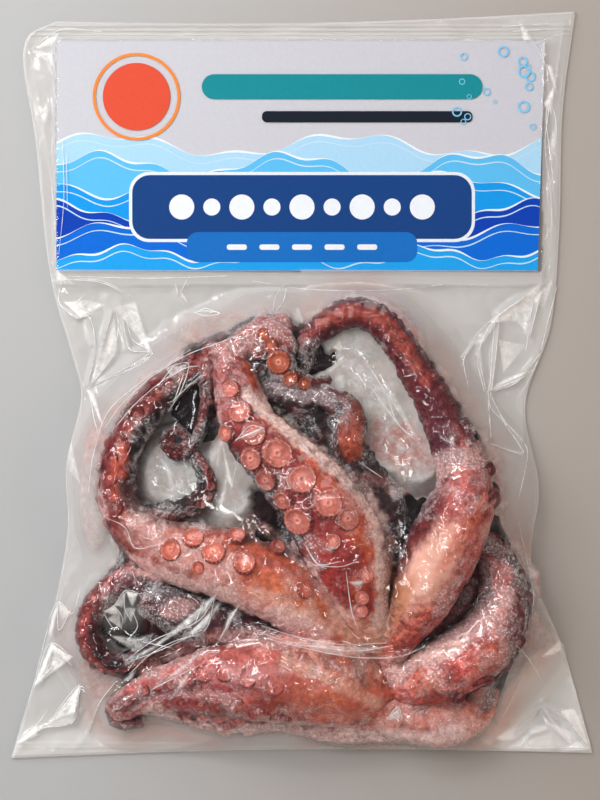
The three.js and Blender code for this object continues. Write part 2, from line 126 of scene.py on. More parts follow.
# Sucker side, left flank, right flank and back, at the root and at the tip, then frost
ARM_COLOURS = {
    "front_arm": (((172, 62, 58), DEEP, PEACH, PURPLE), (RED, PURPLE, PALE, PURPLE), 0.2),
    "front_tip": (((110, 38, 42), BLACK, PURPLE, BLACK), (PURPLE, BLACK, PURPLE, BLACK), 0.35),
    "left_arm": (((204, 116, 92), PALE, PALE, RED), ((122, 38, 44), (138, 46, 50), BLACK, PURPLE), 0.2),
    "right_arm": (((190, 74, 68), (214, 116, 98), (210, 112, 92), DEEP),
                  (PURPLE, (150, 60, 54), DEEP, PURPLE), 0.3),
    "lower_right_arm": (((206, 94, 86), (224, 108, 98), (178, 66, 64), PURPLE),
                        ((124, 48, 54), (192, 92, 84), DEEP, PURPLE), 0.6),
    "bottom_arm": (((204, 110, 86), PINK, TAN, RED), ((192, 98, 98), RED, PINK, PURPLE), 0.5),
    "bottom_tip": ((DEEP, DEEP, PURPLE, PURPLE), (DEEP, DEEP, PURPLE, PURPLE), 0.3),
    "under_arm": ((PALE, (224, 146, 126), (216, 116, 98), (226, 138, 118)),
                  (PALE, TAN, PINK, (220, 146, 130)), 0.7),
    "loop_root": ((BLACK, BLACK, DEEP, PURPLE), (BLACK, BLACK, BLACK, (70, 34, 46)), 0.5),
    "loop_arm": (((172, 72, 68), (112, 42, 50), (150, 56, 58), PURPLE), (RED, BLACK, DEEP, PURPLE), 0.5),
    "back_arm": ((BLACK, BLACK, BLACK, (58, 30, 38)), (BLACK, BLACK, BLACK, BLACK), 0.4),
    "small_arm": ((RED, DEEP, DEEP, PURPLE), ((112, 46, 40), PURPLE, BLACK, BLACK), 0.5),
    "curl_arm": (((176, 86, 56), (72, 28, 38), (158, 70, 50), BLACK),
                 ((84, 68, 76), BLACK, PURPLE, BLACK), 0.3),
    "ring_arm": (((150, 56, 54), (56, 24, 32), (164, 66, 62), BLACK), (RED, BLACK, RED, BLACK), 0.45),
    "pale_lobe": ((TAN, ORANGE, TAN, TAN), (TAN, ORANGE, TAN, TAN), 0.35),
    "coil": ((PURPLE, BLACK, PURPLE, BLACK), (PURPLE, BLACK, PURPLE, BLACK), 0.4),
    "foot_arm": ((ORANGE, PINK, PALE, PURPLE), (PINK, RED, PALE, PURPLE), 0.55),
    "bridge_arm": ((RED, DEEP, RED, PURPLE), (RED, PINK, RED, PURPLE), 0.8),
}
# Arms whose right flank glows orange where it leaves the suckers
GLOW = {"front_arm": 0.9, "left_arm": 0.5, "bottom_arm": 0.15}
GLOW_COLOUR = (206, 96, 54)
# Oval fields of colour on an arm: [x, y], reach along and across, turn in degrees, colour, strength
FIELDS = {
    "right_arm": [(49, -71.5, 21, 9, 57, PEACH, 1), (36, -86, 14, 5, 62, AMBER, 0.8),
                  (47, -6, 24, 7, -63, (98, 40, 48), 0.65), (43, -1, 20, 2.6, -63, (188, 84, 56), 0.6),
                  (64, -42, 11, 7, 60, (192, 110, 108), 0.75), (69, -62, 16, 4, 62, (206, 108, 96), 0.8),
                  (62, -58, 20, 3, 58, (206, 112, 84), 0.6),
                  (20, 30, 14, 3, 10, (92, 38, 46), 0.6)],
    "lower_right_arm": [(85.5, -88, 25, 6, 80, (92, 40, 52), 0.8), (62, -99, 22, 5, 40, (206, 132, 124), 0.5),
                        (72, -106, 9, 5, 35, ORANGE, 0.7), (46, -116, 10, 5, 5, (214, 128, 100), 0.7)],
    "left_arm": [(-71.5, -30, 9, 4, 80, (190, 80, 58), 0.8), (-12, -78, 26, 4, -22, (206, 98, 62), 0.4),
                 (24, -102, 9, 7, -30, AMBER, 0.7), (-2, -83, 17, 6, -26, (218, 128, 76), 0.6),
                 (-14, -86, 20, 4, -24, (228, 172, 150), 0.6), (-38, -66, 17, 7, -14, (206, 112, 88), 0.5)],
    "front_arm": [(14, -50, 22, 3.5, -52, (208, 100, 58), 0.8), (22, -78, 8, 4, 80, (198, 92, 58), 0.6),
                  (31, -103, 7, 6, 60, AMBER, 0.7)],
    "bottom_arm": [(-22, -112, 20, 4, 4, (208, 144, 140), 0.7), (8, -122, 14, 7, 0, (208, 124, 92), 0.5),
                   (26, -127, 16, 5, 0, (198, 108, 90), 0.6), (-40, -121, 14, 8, 5, (150, 62, 66), 0.6)],
    "pale_lobe": [(10, -111, 14, 5, -15, (214, 146, 122), 0.8)],
}
# Bands of colour along the arms and the web: breadth, strength, colour, added frost, then [x, y] points
BANDS = [
    (3.3, 0.9, (244, 218, 204), 1.0, [[-21, -4.5], [-10, -14], [5.5, -27], [18, -36.5], [25.5, -44.5],
         [30, -53.5], [31.5, -63], [30.5, -71.5], [31.5, -82], [30, -94.5]]),
    (2.6, 0.65, PALE, 0.5, [[-67, -54], [-56, -50.5], [-44, -51.5], [-26.5, -53.5], [-14.5, -57],
         [-5.5, -63.5], [2.5, -71], [8.5, -81.5], [17, -93]]),
    (4.2, 0.85, (222, 174, 166), 0.7, [[-65.5, -69.5], [-56, -74.5], [-47, -77.5], [-34.5, -81.5],
         [-19.5, -86.5], [-4, -92.5], [10, -99]]),
    (5.0, 0.95, (244, 214, 206), 1.6, [[-60, -128.5], [-52, -135], [-38.5, -138], [-25, -139.5], [-8.5, -136],
         [1.5, -139], [17, -140], [29, -140.5], [51, -139.5], [60, -137]]),
    (3.5, 0.6, RIMED, 0.6, [[36.5, -114.5], [50, -106], [62.5, -98], [74, -89.5], [81, -81.5]]),
    (5, 0.7, RIMED, 1.2, [[37.5, -41.5], [48, -36], [56.5, -31], [70.5, -27]]),
    (9, 0.6, (190, 112, 106), 0.9, [[-32.5, 10.5], [-30.5, 2], [-29, -9]]),
    (5, 0.5, CORAL_ICE, 0.6, [[-33, 9], [-24, 15], [-15, 21.5], [-7, 24]]),
    (8, 0.45, (226, 184, 174), 0.5, [[-64, -58], [-48, -66], [-32, -73]]),
    (8, 0.9, NIGHT, 0.9, [[2, 10], [13, 9]]),
    (7, 0.9, NIGHT, 0.5, [[-16, -40], [-5, -58]]),
    (4.5, 0.8, NIGHT, 0.2, [[25, -31], [23, -40]]),
    (4, 0.7, (118, 102, 112), 1.4, [[-8.5, -0.5], [-1, -3.5], [8, -4], [16, -9]]),
    (4, 0.6, CORAL_ICE, 0.8, [[-54, -89.5], [-44, -86]]),
    (3.5, 0.6, RIMED, 0.6, [[-63.5, -111.5], [-48, -105], [-34, -98.5], [-15.5, -98], [-1, -100.5]]),
    (3.5, 0.6, PEACH, 0.4, [[29, -111.5], [45.5, -106], [61, -102.5]]),
    (4, 0.45, CORAL_ICE, 0.7, [[68.5, -58], [62, -69], [53.5, -86]]),
    (2.6, 0.5, RIMED, 0.7, [[-82, -24], [-81.5, -33.5], [-80.5, -43.5], [-77, -57]]),
    (3.2, 0.85, NIGHT, 0.1, [[13, 33], [21.5, 35], [30, 33.5], [37.5, 29], [46, 18], [53.5, 7.5],
         [61, -6.5], [67.5, -18.5]]),
    (6, 0.8, WINE, 0, [[34, 15.5], [40.5, 4], [49, -9], [53, -21]]),
    (7, 0.55, (92, 44, 62), 0.2, [[49, -4], [55, -16], [59, -27]]),
    (10, 0.65, (104, 32, 44), -0.8, [[8, 25], [20, 29.5], [30, 27], [38, 18.5], [44, 9], [49, 1], [54, -10]]),
    (3.6, 0.6, (190, 90, 70), 0.1, [[8, 25], [20, 29.5], [30, 27], [38, 18.5], [44, 9], [49, 1]]),
    # Painted shade along the inner side of the left arm and beside the ring arm, where they lie in shadow,
    # with a little frost
    (3, 0.9, NIGHT, 0.3, [[-39, 0], [-44, -7.5], [-52, -15.5], [-60.5, -21], [-63.5, -32.5],
         [-61.5, -43.5], [-52.5, -49.5], [-40, -51]]),
    (3, 0.75, NIGHT, 0.5, [[73, -62.5], [83.5, -69.5], [89.5, -81], [89, -93.5], [84.5, -106],
         [77.5, -114.5], [72.5, -126.5]]),
    (4, 0.6, WINE, 0.2, [[-74.5, -127], [-63.5, -123], [-54, -120], [-42, -117.5]]),
    (2.5, 0.8, NIGHT, 0.4, [[-60, -79], [-51, -80], [-38, -84.5], [-24.5, -91.5]]),
    (2.5, 0.8, NIGHT, 0.4, [[-60, -89.5], [-50, -96.5], [-38, -100.5]]),
    (5, 0.9, NIGHT, 0.2, [[-72, -88], [-65, -89], [-69, -95]]),
    (3, 0.9, (178, 122, 90), 0, [[34, -62], [34.5, -75], [34, -90], [33, -98]]),
    (4, 0.7, (104, 34, 40), 0.1, [[-61, -86], [-60, -96]]),
    (6, 0.75, (154, 68, 70), 0.5, [[70, -72], [65.5, -81], [60, -88.5], [50, -96]]),
    (3, 0.6, PEACH, 0.2, [[-18.5, -80.5], [-6.5, -85.5], [6.5, -93]]),
    (6.5, 0.7, (228, 186, 162), 0.1, [[15, -92], [23, -98], [31, -94]]),
    (3.5, 0.65, (234, 192, 170), 0.1, [[-6, -107], [6, -112.5], [18.5, -119], [29.5, -124.5]]),
    (3.2, 0.6, (132, 100, 88), 0.3, [[21.5, -107], [24, -117]]),
    (2.6, 0.85, NIGHT, 0.3, [[14, -8], [12.5, -16], [13, -25], [18, -33.5]]),
    (2, 0.7, NIGHT, 0.2, [[26, -14], [27, -23.5], [23.5, -32]]),
    (4, 0.55, CORAL_ICE, 0.9, [[-60, -113], [-44, -120], [-28.5, -124]]),
    (3, 0.5, NIGHT, 0.5, [[32.5, -32.5], [40.5, -47.5], [38.5, -65]]),
    (3, 0.3, RIMED, 0.9, [[24.5, -36.5], [36.5, -40], [48.5, -38], [60, -41.5]]),
]
# Arms that show their sucker side, how smooth each arm's skin is, and how much painted shade darkens the
# sides that turn away from overhead
FACE_UP = ("front_arm", "left_arm", "bottom_arm")
CALM = {"under_arm": 0.5, "pale_lobe": 0.45, "bottom_arm": 0.25, "left_arm": 0.2}
USUAL_CALM = 0.1
SIDE_PAINTED_SHADE = {"right_arm": 0.6, "front_arm": 0.3, "left_arm": 0.55, "pale_lobe": 0.5, "under_arm": 0.3,
              "lower_right_arm": 0.5, "foot_arm": 0.4, "bottom_arm": 0.6}
USUAL_SIDE_PAINTED_SHADE = 0.75
PAINTED_SHADE_COLOUR = (52, 18, 28)
# Sizes in mm, and depths in mm or as a share of the half width
LUMP_SIZE = 14
LUMP_SHARE = 0.06
FOLD_PACE = 0.6
FOLD_DEPTH = 0.22
BEAD_SIZE = 4.5
BEAD_DEPTH = 0.55
SEAM_SHARE = 0.07
BLOTCH_SIZE = 5
FROST_SIZE = 13
FROST_SPREAD = 0.45
ARM_SIDES = 72
ARM_STEP = 0.8
CAP_RINGS = 6
CAP_LENGTH = 0.65
SUCKER_SIDE_FLATNESS = 0.78
BACK_FLATNESS = 0.92
PATH_PIECES = 24
ARM_FLOOR = 0.6


def linear(colour):
    """Light values of a colour given out of 255."""
    share = np.array(colour, float) / 255
    return np.where(share <= 0.04045, share / 12.92, ((share + 0.055) / 1.055) ** 2.4)


def blend(colours, tint, share):
    """Colours after a share of them is taken by one colour."""
    return colours * (1 - share) + linear(tint) * share


def smooth_step(value, low, high):
    share = np.clip((value - low) / (high - low), 0, 1)
    return share * share * (3 - 2 * share)


def grain(points, size, seed, octaves=3):
    """Smooth random values from -1 to 1 at points in mm, with lumps of that size."""
    total = np.zeros(len(points))
    reach = 0
    for octave in range(octaves):
        spot = points * (2 ** octave / size) + 37.7 * seed
        cell = np.floor(spot).astype(np.int64)
        part = spot - cell
        part = part * part * (3 - 2 * part)
        layer = np.zeros(len(points))
        for corner in range(8):
            step = np.array([corner & 1, corner >> 1 & 1, corner >> 2 & 1])
            key = (cell + step) @ np.array([73856093, 19349663, 83492791]) + seed * 7919
            key = (key ^ (key >> 13)) * 1274126177 & 0x7FFFFFFF
            key = (key ^ (key >> 15)) * 2246822519 & 0x7FFFFFFF
            share = np.prod(np.where(step, part, 1 - part), axis=1)
            layer += share * (key / 0x3FFFFFFF - 1)
        total += layer * 0.5 ** octave
        reach += 0.5 ** octave
    return total / reach * 1.6


def smooth_path(stations, step):
    """Centripetal curve through the stations, with points at even steps."""
    nodes = np.array(stations, float)
    nodes = np.vstack([2 * nodes[0] - nodes[1], nodes, 2 * nodes[-1] - nodes[-2]])
    gaps = np.linalg.norm(np.diff(nodes[:, :3], axis=0), axis=1) ** 0.5
    fine = []
    for i in range(1, len(nodes) - 2):
        a, b, c, d = nodes[i - 1:i + 3]
        before, here, after = gaps[i - 1:i + 2]
        leave = ((b - a) / before - (c - a) / (before + here) + (c - b) / here) * here
        reach = ((c - b) / here - (d - b) / (here + after) + (d - c) / after) * here
        t = np.linspace(0, 1, PATH_PIECES, endpoint=False)[:, None]
        fine.append(b + leave * t + (3 * (c - b) - 2 * leave - reach) * t ** 2
                    + (2 * (b - c) + leave + reach) * t ** 3)
    fine = np.vstack(fine + [nodes[-2:-1]])
    walked = np.append(0, np.cumsum(np.linalg.norm(np.diff(fine[:, :3], axis=0), axis=1)))
    marks = np.linspace(0, walked[-1], max(6, round(walked[-1] / step)) + 1)
    return np.stack([np.interp(marks, walked, column) for column in fine.T], axis=1)


def limb_frame(stations, step):
    """Middle, direction, sucker direction, side direction and half width along an arm."""
    path = smooth_path(stations, step)
    middle = path[:, :3]
    along = np.gradient(middle, axis=0)
    along /= np.linalg.norm(along, axis=1)[:, None]
    aside = np.cross([0, 0, 1], along)
    aside /= np.linalg.norm(aside, axis=1)[:, None]
    above = np.cross(along, aside)
    turn = np.radians(path[:, 4])[:, None]
    oral = above * np.cos(turn) + aside * np.sin(turn)
    lateral = aside * np.cos(turn) - above * np.sin(turn)
    return {"middle": middle, "along": along, "oral": oral, "lateral": lateral, "width": path[:, 3]}


def skin_offset(limb, rows, angles, scale=1.0):
    """From the middle to the skin at angles from the middle of the sucker side."""
    across = np.sin(angles)[..., None] * limb["lateral"][rows]
    flat = np.where(np.cos(angles) > 0, SUCKER_SIDE_FLATNESS, BACK_FLATNESS) * np.cos(angles)
    out = flat[..., None] * limb["oral"][rows]
    return (across + out) * (limb["width"][rows] * scale)[..., None]


def mesh_piece(name, points, faces, smooth=True):
    """A new piece from points in mm."""
    mesh = bpy.data.meshes.new(name)
    mesh.from_pydata((np.asarray(points) * MM).tolist(), [], faces)
    mesh.polygons.foreach_set("use_smooth", [smooth] * len(mesh.polygons))
    piece = bpy.data.objects.new(name, mesh)
    bpy.context.collection.objects.link(piece)
    return piece


def tube_faces(rings, sides):
    """Faces of a tube of rings, closed at each end with a fan round one point."""
    k = np.arange(sides)
    after = (k + 1) % sides
    quads = [np.stack([r * sides + k, r * sides + after, (r + 1) * sides + after, (r + 1) * sides + k], 1)
             for r in range(rings - 1)]
    faces = np.concatenate(quads).tolist()
    root, tip = rings * sides, rings * sides + 1
    faces += [[root, int(b), int(a)] for a, b in zip(k, after)]
    last = (rings - 1) * sides
    faces += [[tip, int(last + a), int(last + b)] for a, b in zip(k, after)]
    return faces


def write_values(piece, **values):
    """Keeps a value for each point of a piece, under each name."""
    for name, shares in values.items():
        kept = piece.data.attributes.new(name, "FLOAT", "POINT")
        kept.data.foreach_set("value", np.asarray(shares, float))


def paint(piece, colours, frost, calm=0.0):
    """Keeps each point's cooked colour, its share of frost and how smooth its skin is."""
    flesh = piece.data.attributes.new("flesh", "FLOAT_COLOR", "POINT")
    flesh.data.foreach_set("color", np.column_stack([colours, np.ones(len(colours))]).ravel())
    write_values(piece, rime=frost, calm=calm + np.zeros(len(colours)))


def arm_tint(name, angles, share):
    """Cooked colour round and along an arm."""
    near, far, _ = ARM_COLOURS[name]
    side = np.sin(angles)
    front = smooth_step(np.cos(angles), 0.35, 0.75)
    behind = smooth_step(-np.cos(angles), 0.25, 0.75)
    left = (1 - front) * (1 - behind) * (side > 0)
    right = (1 - front) * (1 - behind) * (side <= 0)
    weights = np.stack([front, left, right, behind], axis=-1)
    root = weights @ np.array([linear(c) for c in near])
    tip = weights @ np.array([linear(c) for c in far])
    onward = smooth_step(share, 0.15, 0.75)[..., None]
    tint = root * (1 - onward) + tip * onward
    beside = np.exp(-((side + 0.68) / 0.16) ** 2) * (np.cos(angles) > 0)
    return blend(tint, GLOW_COLOUR, (GLOW.get(name, 0) * beside)[..., None])


def field_share(points, x, y, reach, breadth, turn):
    """How strongly an oval field covers each point, seen from above."""
    lean = math.radians(turn)
    ahead = (points[:, 0] - x) * math.cos(lean) + (points[:, 1] - y) * math.sin(lean)
    aside = (points[:, 1] - y) * math.cos(lean) - (points[:, 0] - x) * math.sin(lean)
    away = np.hypot(ahead / reach, aside / breadth) + 0.22 * grain(points, 4, 61)
    return 1 - smooth_step(away, 0.55, 1.3)


def line_gap(points, line):
    """Distance in plan from each point to a line of points."""
    line = np.array(line)
    away = np.full(len(points), 99.0)
    for a, b in zip(line, line[1:]):
        run = b - a
        share = np.clip((points[:, :2] - a) @ run / (run @ run), 0, 1)
        away = np.minimum(away, np.hypot(*(points[:, :2] - a - share[:, None] * run).T))
    return away


def lay_bands(points, colours, facing=1.0):
    """Colours after the bands, and the frost that they add."""
    ragged = 0.4 * grain(points, 3, 63)
    added = np.zeros(len(points))
    for breadth, strength, tint, rime, line in BANDS:
        cover = strength * facing * (1 - smooth_step(line_gap(points, line) / breadth + ragged, 0.35, 1.2))
        colours = blend(colours, tint, cover[:, None])
        added += rime * cover
    return colours, added


def build_arm(name, stations, seed):
    """A limb with round ends, and its middle line. Its skin, colours and frost are worked out together."""
    limb = limb_frame(stations, ARM_STEP)
    count = len(limb["middle"])
    angles = np.linspace(0, 2 * np.pi, ARM_SIDES, endpoint=False)
    bend = np.linspace(0, np.pi / 2, CAP_RINGS + 1)[1:-1]
    rows = np.concatenate([np.zeros(len(bend), int), np.arange(count), np.full(len(bend), count - 1)])
    scale = np.concatenate([np.cos(bend[::-1]), np.ones(count), np.cos(bend)])
    ahead = np.concatenate([-np.sin(bend[::-1]), np.zeros(count), np.sin(bend)]) * CAP_LENGTH
    ring_rows = np.repeat(rows, ARM_SIDES).reshape(len(rows), ARM_SIDES)
    ring_angles = np.tile(angles, (len(rows), 1))
    offset = skin_offset(limb, ring_rows, ring_angles, np.repeat(scale, ARM_SIDES).reshape(ring_rows.shape))
    width = limb["width"][rows]
    centre = limb["middle"][rows] + limb["along"][rows] * (ahead * width)[:, None]
    points = (centre[:, None] + offset).reshape(-1, 3)
    outward = offset.reshape(-1, 3)
    outward /= np.linalg.norm(outward, axis=1)[:, None] + 1e-9
    flat_angles = ring_angles.ravel()
    size = np.repeat(width, ARM_SIDES)
    front = smooth_step(np.cos(flat_angles), 0.3, 0.8)
    walked = np.repeat(np.linspace(0, count * ARM_STEP, len(rows)), ARM_SIDES)
    # Lumps of muscle, folds across the arm, and grainy skin that is coarser away from the suckers
    lumps = grain(points, LUMP_SIZE, seed) * LUMP_SHARE * size * (1 - 0.8 * front * (name in FACE_UP))
    folds = np.sin(walked / FOLD_PACE + 6 * grain(points, 6, seed + 3, 2)) * FOLD_DEPTH * (1 - 0.7 * front)
    beads = (1 - 2.4 * np.abs(grain(points, BEAD_SIZE, seed + 5, 2))) * (BEAD_DEPTH - 0.35 * front)
    seam = -SEAM_SHARE * size * np.exp(-(np.sin(flat_angles / 2) / 0.11) ** 2)
    points = points + outward * (lumps + folds + beads + seam)[:, None]
    ends = [limb["middle"][0] - limb["along"][0] * limb["width"][0] * CAP_LENGTH,
            limb["middle"][-1] + limb["along"][-1] * limb["width"][-1] * CAP_LENGTH]
    points = np.vstack([points, ends])
    points[:, 2] = np.maximum(points[:, 2], ARM_FLOOR)
    share = np.repeat(np.clip((np.arange(len(rows)) - len(bend)) / count, 0, 1), ARM_SIDES)
    colours = arm_tint(name, flat_angles, share)
    # Darker blotches and paler stretches, as where skin has slipped in the pot
    blotch = smooth_step(grain(points[:-2], BLOTCH_SIZE, seed + 21), 0.1, 0.6)[:, None] * 0.5
    colours = colours * (1 - blotch) + linear(DEEP) * 0.7 * blotch
    colours *= 1 + 0.3 * grain(points[:-2], 10, seed + 9)[:, None]
    for x, y, reach, breadth, turn, tint, strength in FIELDS.get(name, []):
        cover = strength * field_share(points[:-2], x, y, reach, breadth, turn)
        colours = blend(colours, tint, cover[:, None])
    # Painted shade: flanks that turn away from overhead are darkened towards a dark purple
    side = SIDE_PAINTED_SHADE.get(name, USUAL_SIDE_PAINTED_SHADE) * smooth_step(0.75 - outward[:, 2], 0, 0.95)
    colours = blend(colours, PAINTED_SHADE_COLOUR, side[:, None])
    colours, added = lay_bands(points[:-2], colours, smooth_step(outward[:, 2], -0.1, 0.25))
    colours = np.vstack([colours, colours[0], colours[-1]])
    flank = np.exp(-((outward[:, 2] - 0.3) / 0.22) ** 2)
    frost = ARM_COLOURS[name][2] + 0.25 * flank
    frost = frost + FROST_SPREAD * grain(points[:-2], FROST_SIZE, seed + 13) + added
    calm = CALM.get(name, USUAL_CALM) + 0.3 * front * (name in FACE_UP) * (1 - smooth_step(share, 0.45, 0.75))
    if name == "right_arm":
        peach = field_share(points[:-2], *FIELDS[name][0][:5])
        frost -= 0.4 * peach
        calm = np.maximum(calm, peach)
    piece = mesh_piece(name, points, tube_faces(len(rows), ARM_SIDES))
    paint(piece, colours, np.append(frost, [0.3, 0.3]), np.append(calm, [0.3, 0.3]))
    return piece, limb


# The coil's stations, wound inward
coil_share = np.linspace(0, 1, COIL["stations"])
coil_turn = np.radians(COIL["start"]) + coil_share * COIL["turns"] * 2 * np.pi
coil_radius = COIL["radius"] + (COIL["inner_radius"] - COIL["radius"]) * coil_share
ARM_PATHS["coil"] = np.stack([
    COIL["x"] + coil_radius * np.cos(coil_turn),
    COIL["y"] + coil_radius * np.sin(coil_turn),
    COIL["height"] + coil_share,
    COIL["half_width"] + (COIL["inner_half_width"] - COIL["half_width"]) * coil_share,
    0 * coil_share], axis=1).tolist()


def new_material(name):
    """A material, the maker of its nodes, and its main shader."""
    material = bpy.data.materials.new(name)
    material.use_nodes = True
    tree = material.node_tree

    def make(kind, *sources, out=None, **values):
        """A node with its sockets set, or joined to the sockets given for them, and one of its outputs."""
        made = tree.nodes.new("ShaderNode" + kind)
        for key, value in [*values.items(), *enumerate(sources)]:
            if str(key).islower():
                setattr(made, key, value)
            else:
                set_socket(made.inputs[key], value)
        return made.outputs[out] if out else next(socket for socket in made.outputs if socket.enabled)

    return material, make, tree.nodes["Principled BSDF"]


def set_socket(socket, value):
    """Joins a socket to another one, or gives it a value."""
    if isinstance(value, bpy.types.NodeSocket):
        socket.id_data.links.new(value, socket)
    else:
        socket.default_value = value


def set_shader(shader, **values):
    """Sets a shader's sockets by their names, with underscores for spaces."""
    for key, value in values.items():
        set_socket(shader.inputs[key.replace("_", " ")], value)


def opaque(colour):
    """Light values with full cover, as a socket takes them."""
    return (*linear(colour), 1)


def flesh_material():
    """Wet cooked skin: its own mottling, painted shade in the hollows of its grain and painted light on the
    raised grain, with crisp white frost on top.
    """
    material, make, skin = new_material("cooked_skin")
    place = make("TexCoord", out="Object")
    colour = make("Attribute", attribute_name="flesh", out="Color")
    rime = make("Attribute", attribute_name="rime", out="Fac")
    calm = make("Attribute", attribute_name="calm", out="Fac")
    crust = make("TexNoise", place, Scale=600, Detail=6, Roughness=0.76, Distortion=0.6)
    fibre = make("TexNoise", place, Scale=700, Detail=3, Roughness=0.7, Distortion=1.8)
    fine = make("TexNoise", place, Scale=1150, Detail=3, Roughness=0.7)
    drift = make("TexNoise", place, Scale=110, Detail=5, Roughness=0.72, Distortion=0.8)
    knobs = make("TexVoronoi", place, feature="SMOOTH_F1", Scale=460, Smoothness=0.6)
    relief = make("Math", knobs, -0.22, crust, operation="MULTIPLY_ADD")
    shade = make("MapRange", relief, 0.26, 0.54)
    even = make("Mix", Factor=calm, A=shade, B=0.62)
    # Painted shade in the hollows of the relief and painted light on its raised parts, mixed with the skin's
    # own mottling
    painted_hollow_shade = make("VectorMath", colour, (0.32, 0.16, 0.2), operation="MULTIPLY")
    painted_raised_light = make("VectorMath", colour, (1.52, 1.34, 1.3), operation="MULTIPLY")
    mottled = make("Mix", data_type="RGBA", Factor=even, A=painted_hollow_shade, B=painted_raised_light)
    # Frost lies in drifts, more of them as rime rises
    level = make("Math", rime, 0.28, drift, operation="MULTIPLY_ADD")
    patch = make("MapRange", level, 0.58, 0.74)
    # In each drift it is fine threads, most on dark skin, and specks in a thin haze, most on pale skin
    middle = make("Math", fibre, 0.5, operation="SUBTRACT")
    off = make("Math", middle, operation="ABSOLUTE")
    thread = make("MapRange", off, 0, 0.075, 1, 0)
    tuft = make("MapRange", make("SeparateColor", drift.node.outputs["Color"], out="Green"), 0.47, 0.56)
    hair = make("Math", thread, tuft, operation="MULTIPLY")
    dark = make("MapRange", make("RGBToBW", colour), 0.02, 0.14, 1, 0.15)
    fur = make("Math", hair, dark, operation="MULTIPLY")
    speck = make("MapRange", fine, 0.5, 0.64)
    haze = make("MapRange", dark, 0.15, 1, 0.2, 0.02)
    bloom = make("Math", speck, haze, operation="MAXIMUM")
    rich = make("Math", fur, bloom, operation="MAXIMUM")
    cover = make("Math", rich, patch, operation="MULTIPLY")
    crystal = make("Mix", data_type="RGBA", Factor=dark, A=(0.95, 0.76, 0.73, 1), B=(0.8, 0.77, 0.77, 1))
    frosted = make("Mix", data_type="RGBA", Factor=cover, A=mottled, B=crystal)
    set_shader(skin, Base_Color=frosted, Roughness=make("MapRange", cover, 0, 0.8, 0.36, 0.75),
               Normal=make("Bump", Strength=0.65, Distance=0.0008, Height=relief),
               Subsurface_Weight=0.1, Subsurface_Radius=(1, 0.35, 0.25), Subsurface_Scale=0.003,
               Coat_Weight=0.15, Coat_Roughness=0.15)
    return material


cooked_skin = flesh_material()
arms = []
limbs = {}
for seed, (name, stations) in enumerate(ARM_PATHS.items(), 1):
    arm, limbs[name] = build_arm(name, stations, seed)
    arm.data.materials.append(cooked_skin)
    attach(arm, "root")
    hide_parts("sealed_bag")
    arms.append(arm)

# The suckers. Cups of muscle in two staggered rows along each arm's inner side, with a thin dark
# edge, a fluted dish and a small pale ring in the middle. One is modelled by rings and copied for
# the rest. Those seen full face sit at measured places, [x, y, diameter] in mm.

FRONT_SUCKERS = [
    [-28.5, -3.5, 6.5], [-24, -12, 8], [-29, -19, 6], [-18, -19.5, 8.5], [-8, -27, 10],
    [-18.5, -29, 8], [2, -36.5, 10], [-12.5, -37, 7.5], [-6, -44, 7], [12, -45, 10], [0, -51.5, 10],
    [19.5, -50.5, 8], [14, -59, 5.5], [26.5, -72, 5.5], [25, -80.5, 5], [24, -86, 5.5]]
LEFT_SUCKERS = [
    [-50, -64.5, 7.5], [-41.5, -60.5, 7], [-34, -66, 8], [-26, -60.5, 6.5], [-22.5, -70.5, 8],
    [-39, -72.5, 4.5], [-10, -65.5, 5.5], [0, -80.5, 6]]
SMALL_SUCKERS = [[-14.2, 20.4, 4.5], [-11.4, 15.6, 5.5], [-9.1, 8.6, 8], [-4.7, 2.3, 5.5], [0.4, 0.7, 4.5]]
FACE_SUCKER_GROWTH = 1.12
LARGEST_IN_ROW = 4.2
CORAL = (205, 127, 112)
RUST = (170, 84, 72)
# First and last share of the arm, sucker size against half width, angle off the middle, colour
SUCKER_ROWS = {
    "left_arm": (0.6, 0.97, 0.4, 0.5, (138, 58, 54)),
    "right_arm": (0.36, 0.97, 0.32, 0.5, (112, 48, 54)),
    "lower_right_arm": (0.28, 0.9, 0.28, 0.5, (118, 50, 56)),
    "bottom_arm": (0.4, 0.98, 0.3, 0.5, (190, 100, 92)),
    "loop_arm": (0.15, 0.9, 0.42, 0.5, (146, 62, 58)),
    "ring_arm": (0.4, 0.95, 0.44, 0.5, RUST),
    "coil": (0.05, 0.95, 0.5, 0.4, (118, 54, 52)),
    "front_tip": (0.1, 0.9, 0.4, 0.5, (124, 50, 48)),
    "foot_arm": (0.25, 0.95, 0.5, 0.45, (190, 100, 92)),
}
# Radius and height of each ring, in sucker radii, from the skin over the edge to the middle
CUP_RINGS = [
    (1.1, -0.34), (1.05, -0.1), (1.01, 0.03), (0.96, 0.1), (0.89, 0.12), (0.8, 0.08), (0.68, 0.02),
    (0.54, -0.02), (0.4, -0.02), (0.3, 0.02), (0.24, 0.07), (0.18, 0.08), (0.12, 0.02), (0.06, -0.03)]
CUP_SIDES = 36
CUP_FLUTES = 18
CUP_RING_COLOUR = (246, 206, 194)
# Edge dashes, partly the cup's own colour and partly painted shade in the crease round it, and painted shade
# on the skirt that sinks into the skin
CUP_EDGE_AND_SHADE_COLOUR = (70, 22, 28)
CUP_SKIRT_SHADE_COLOUR = (112, 40, 42)
SUCKER_CALM = 0.55


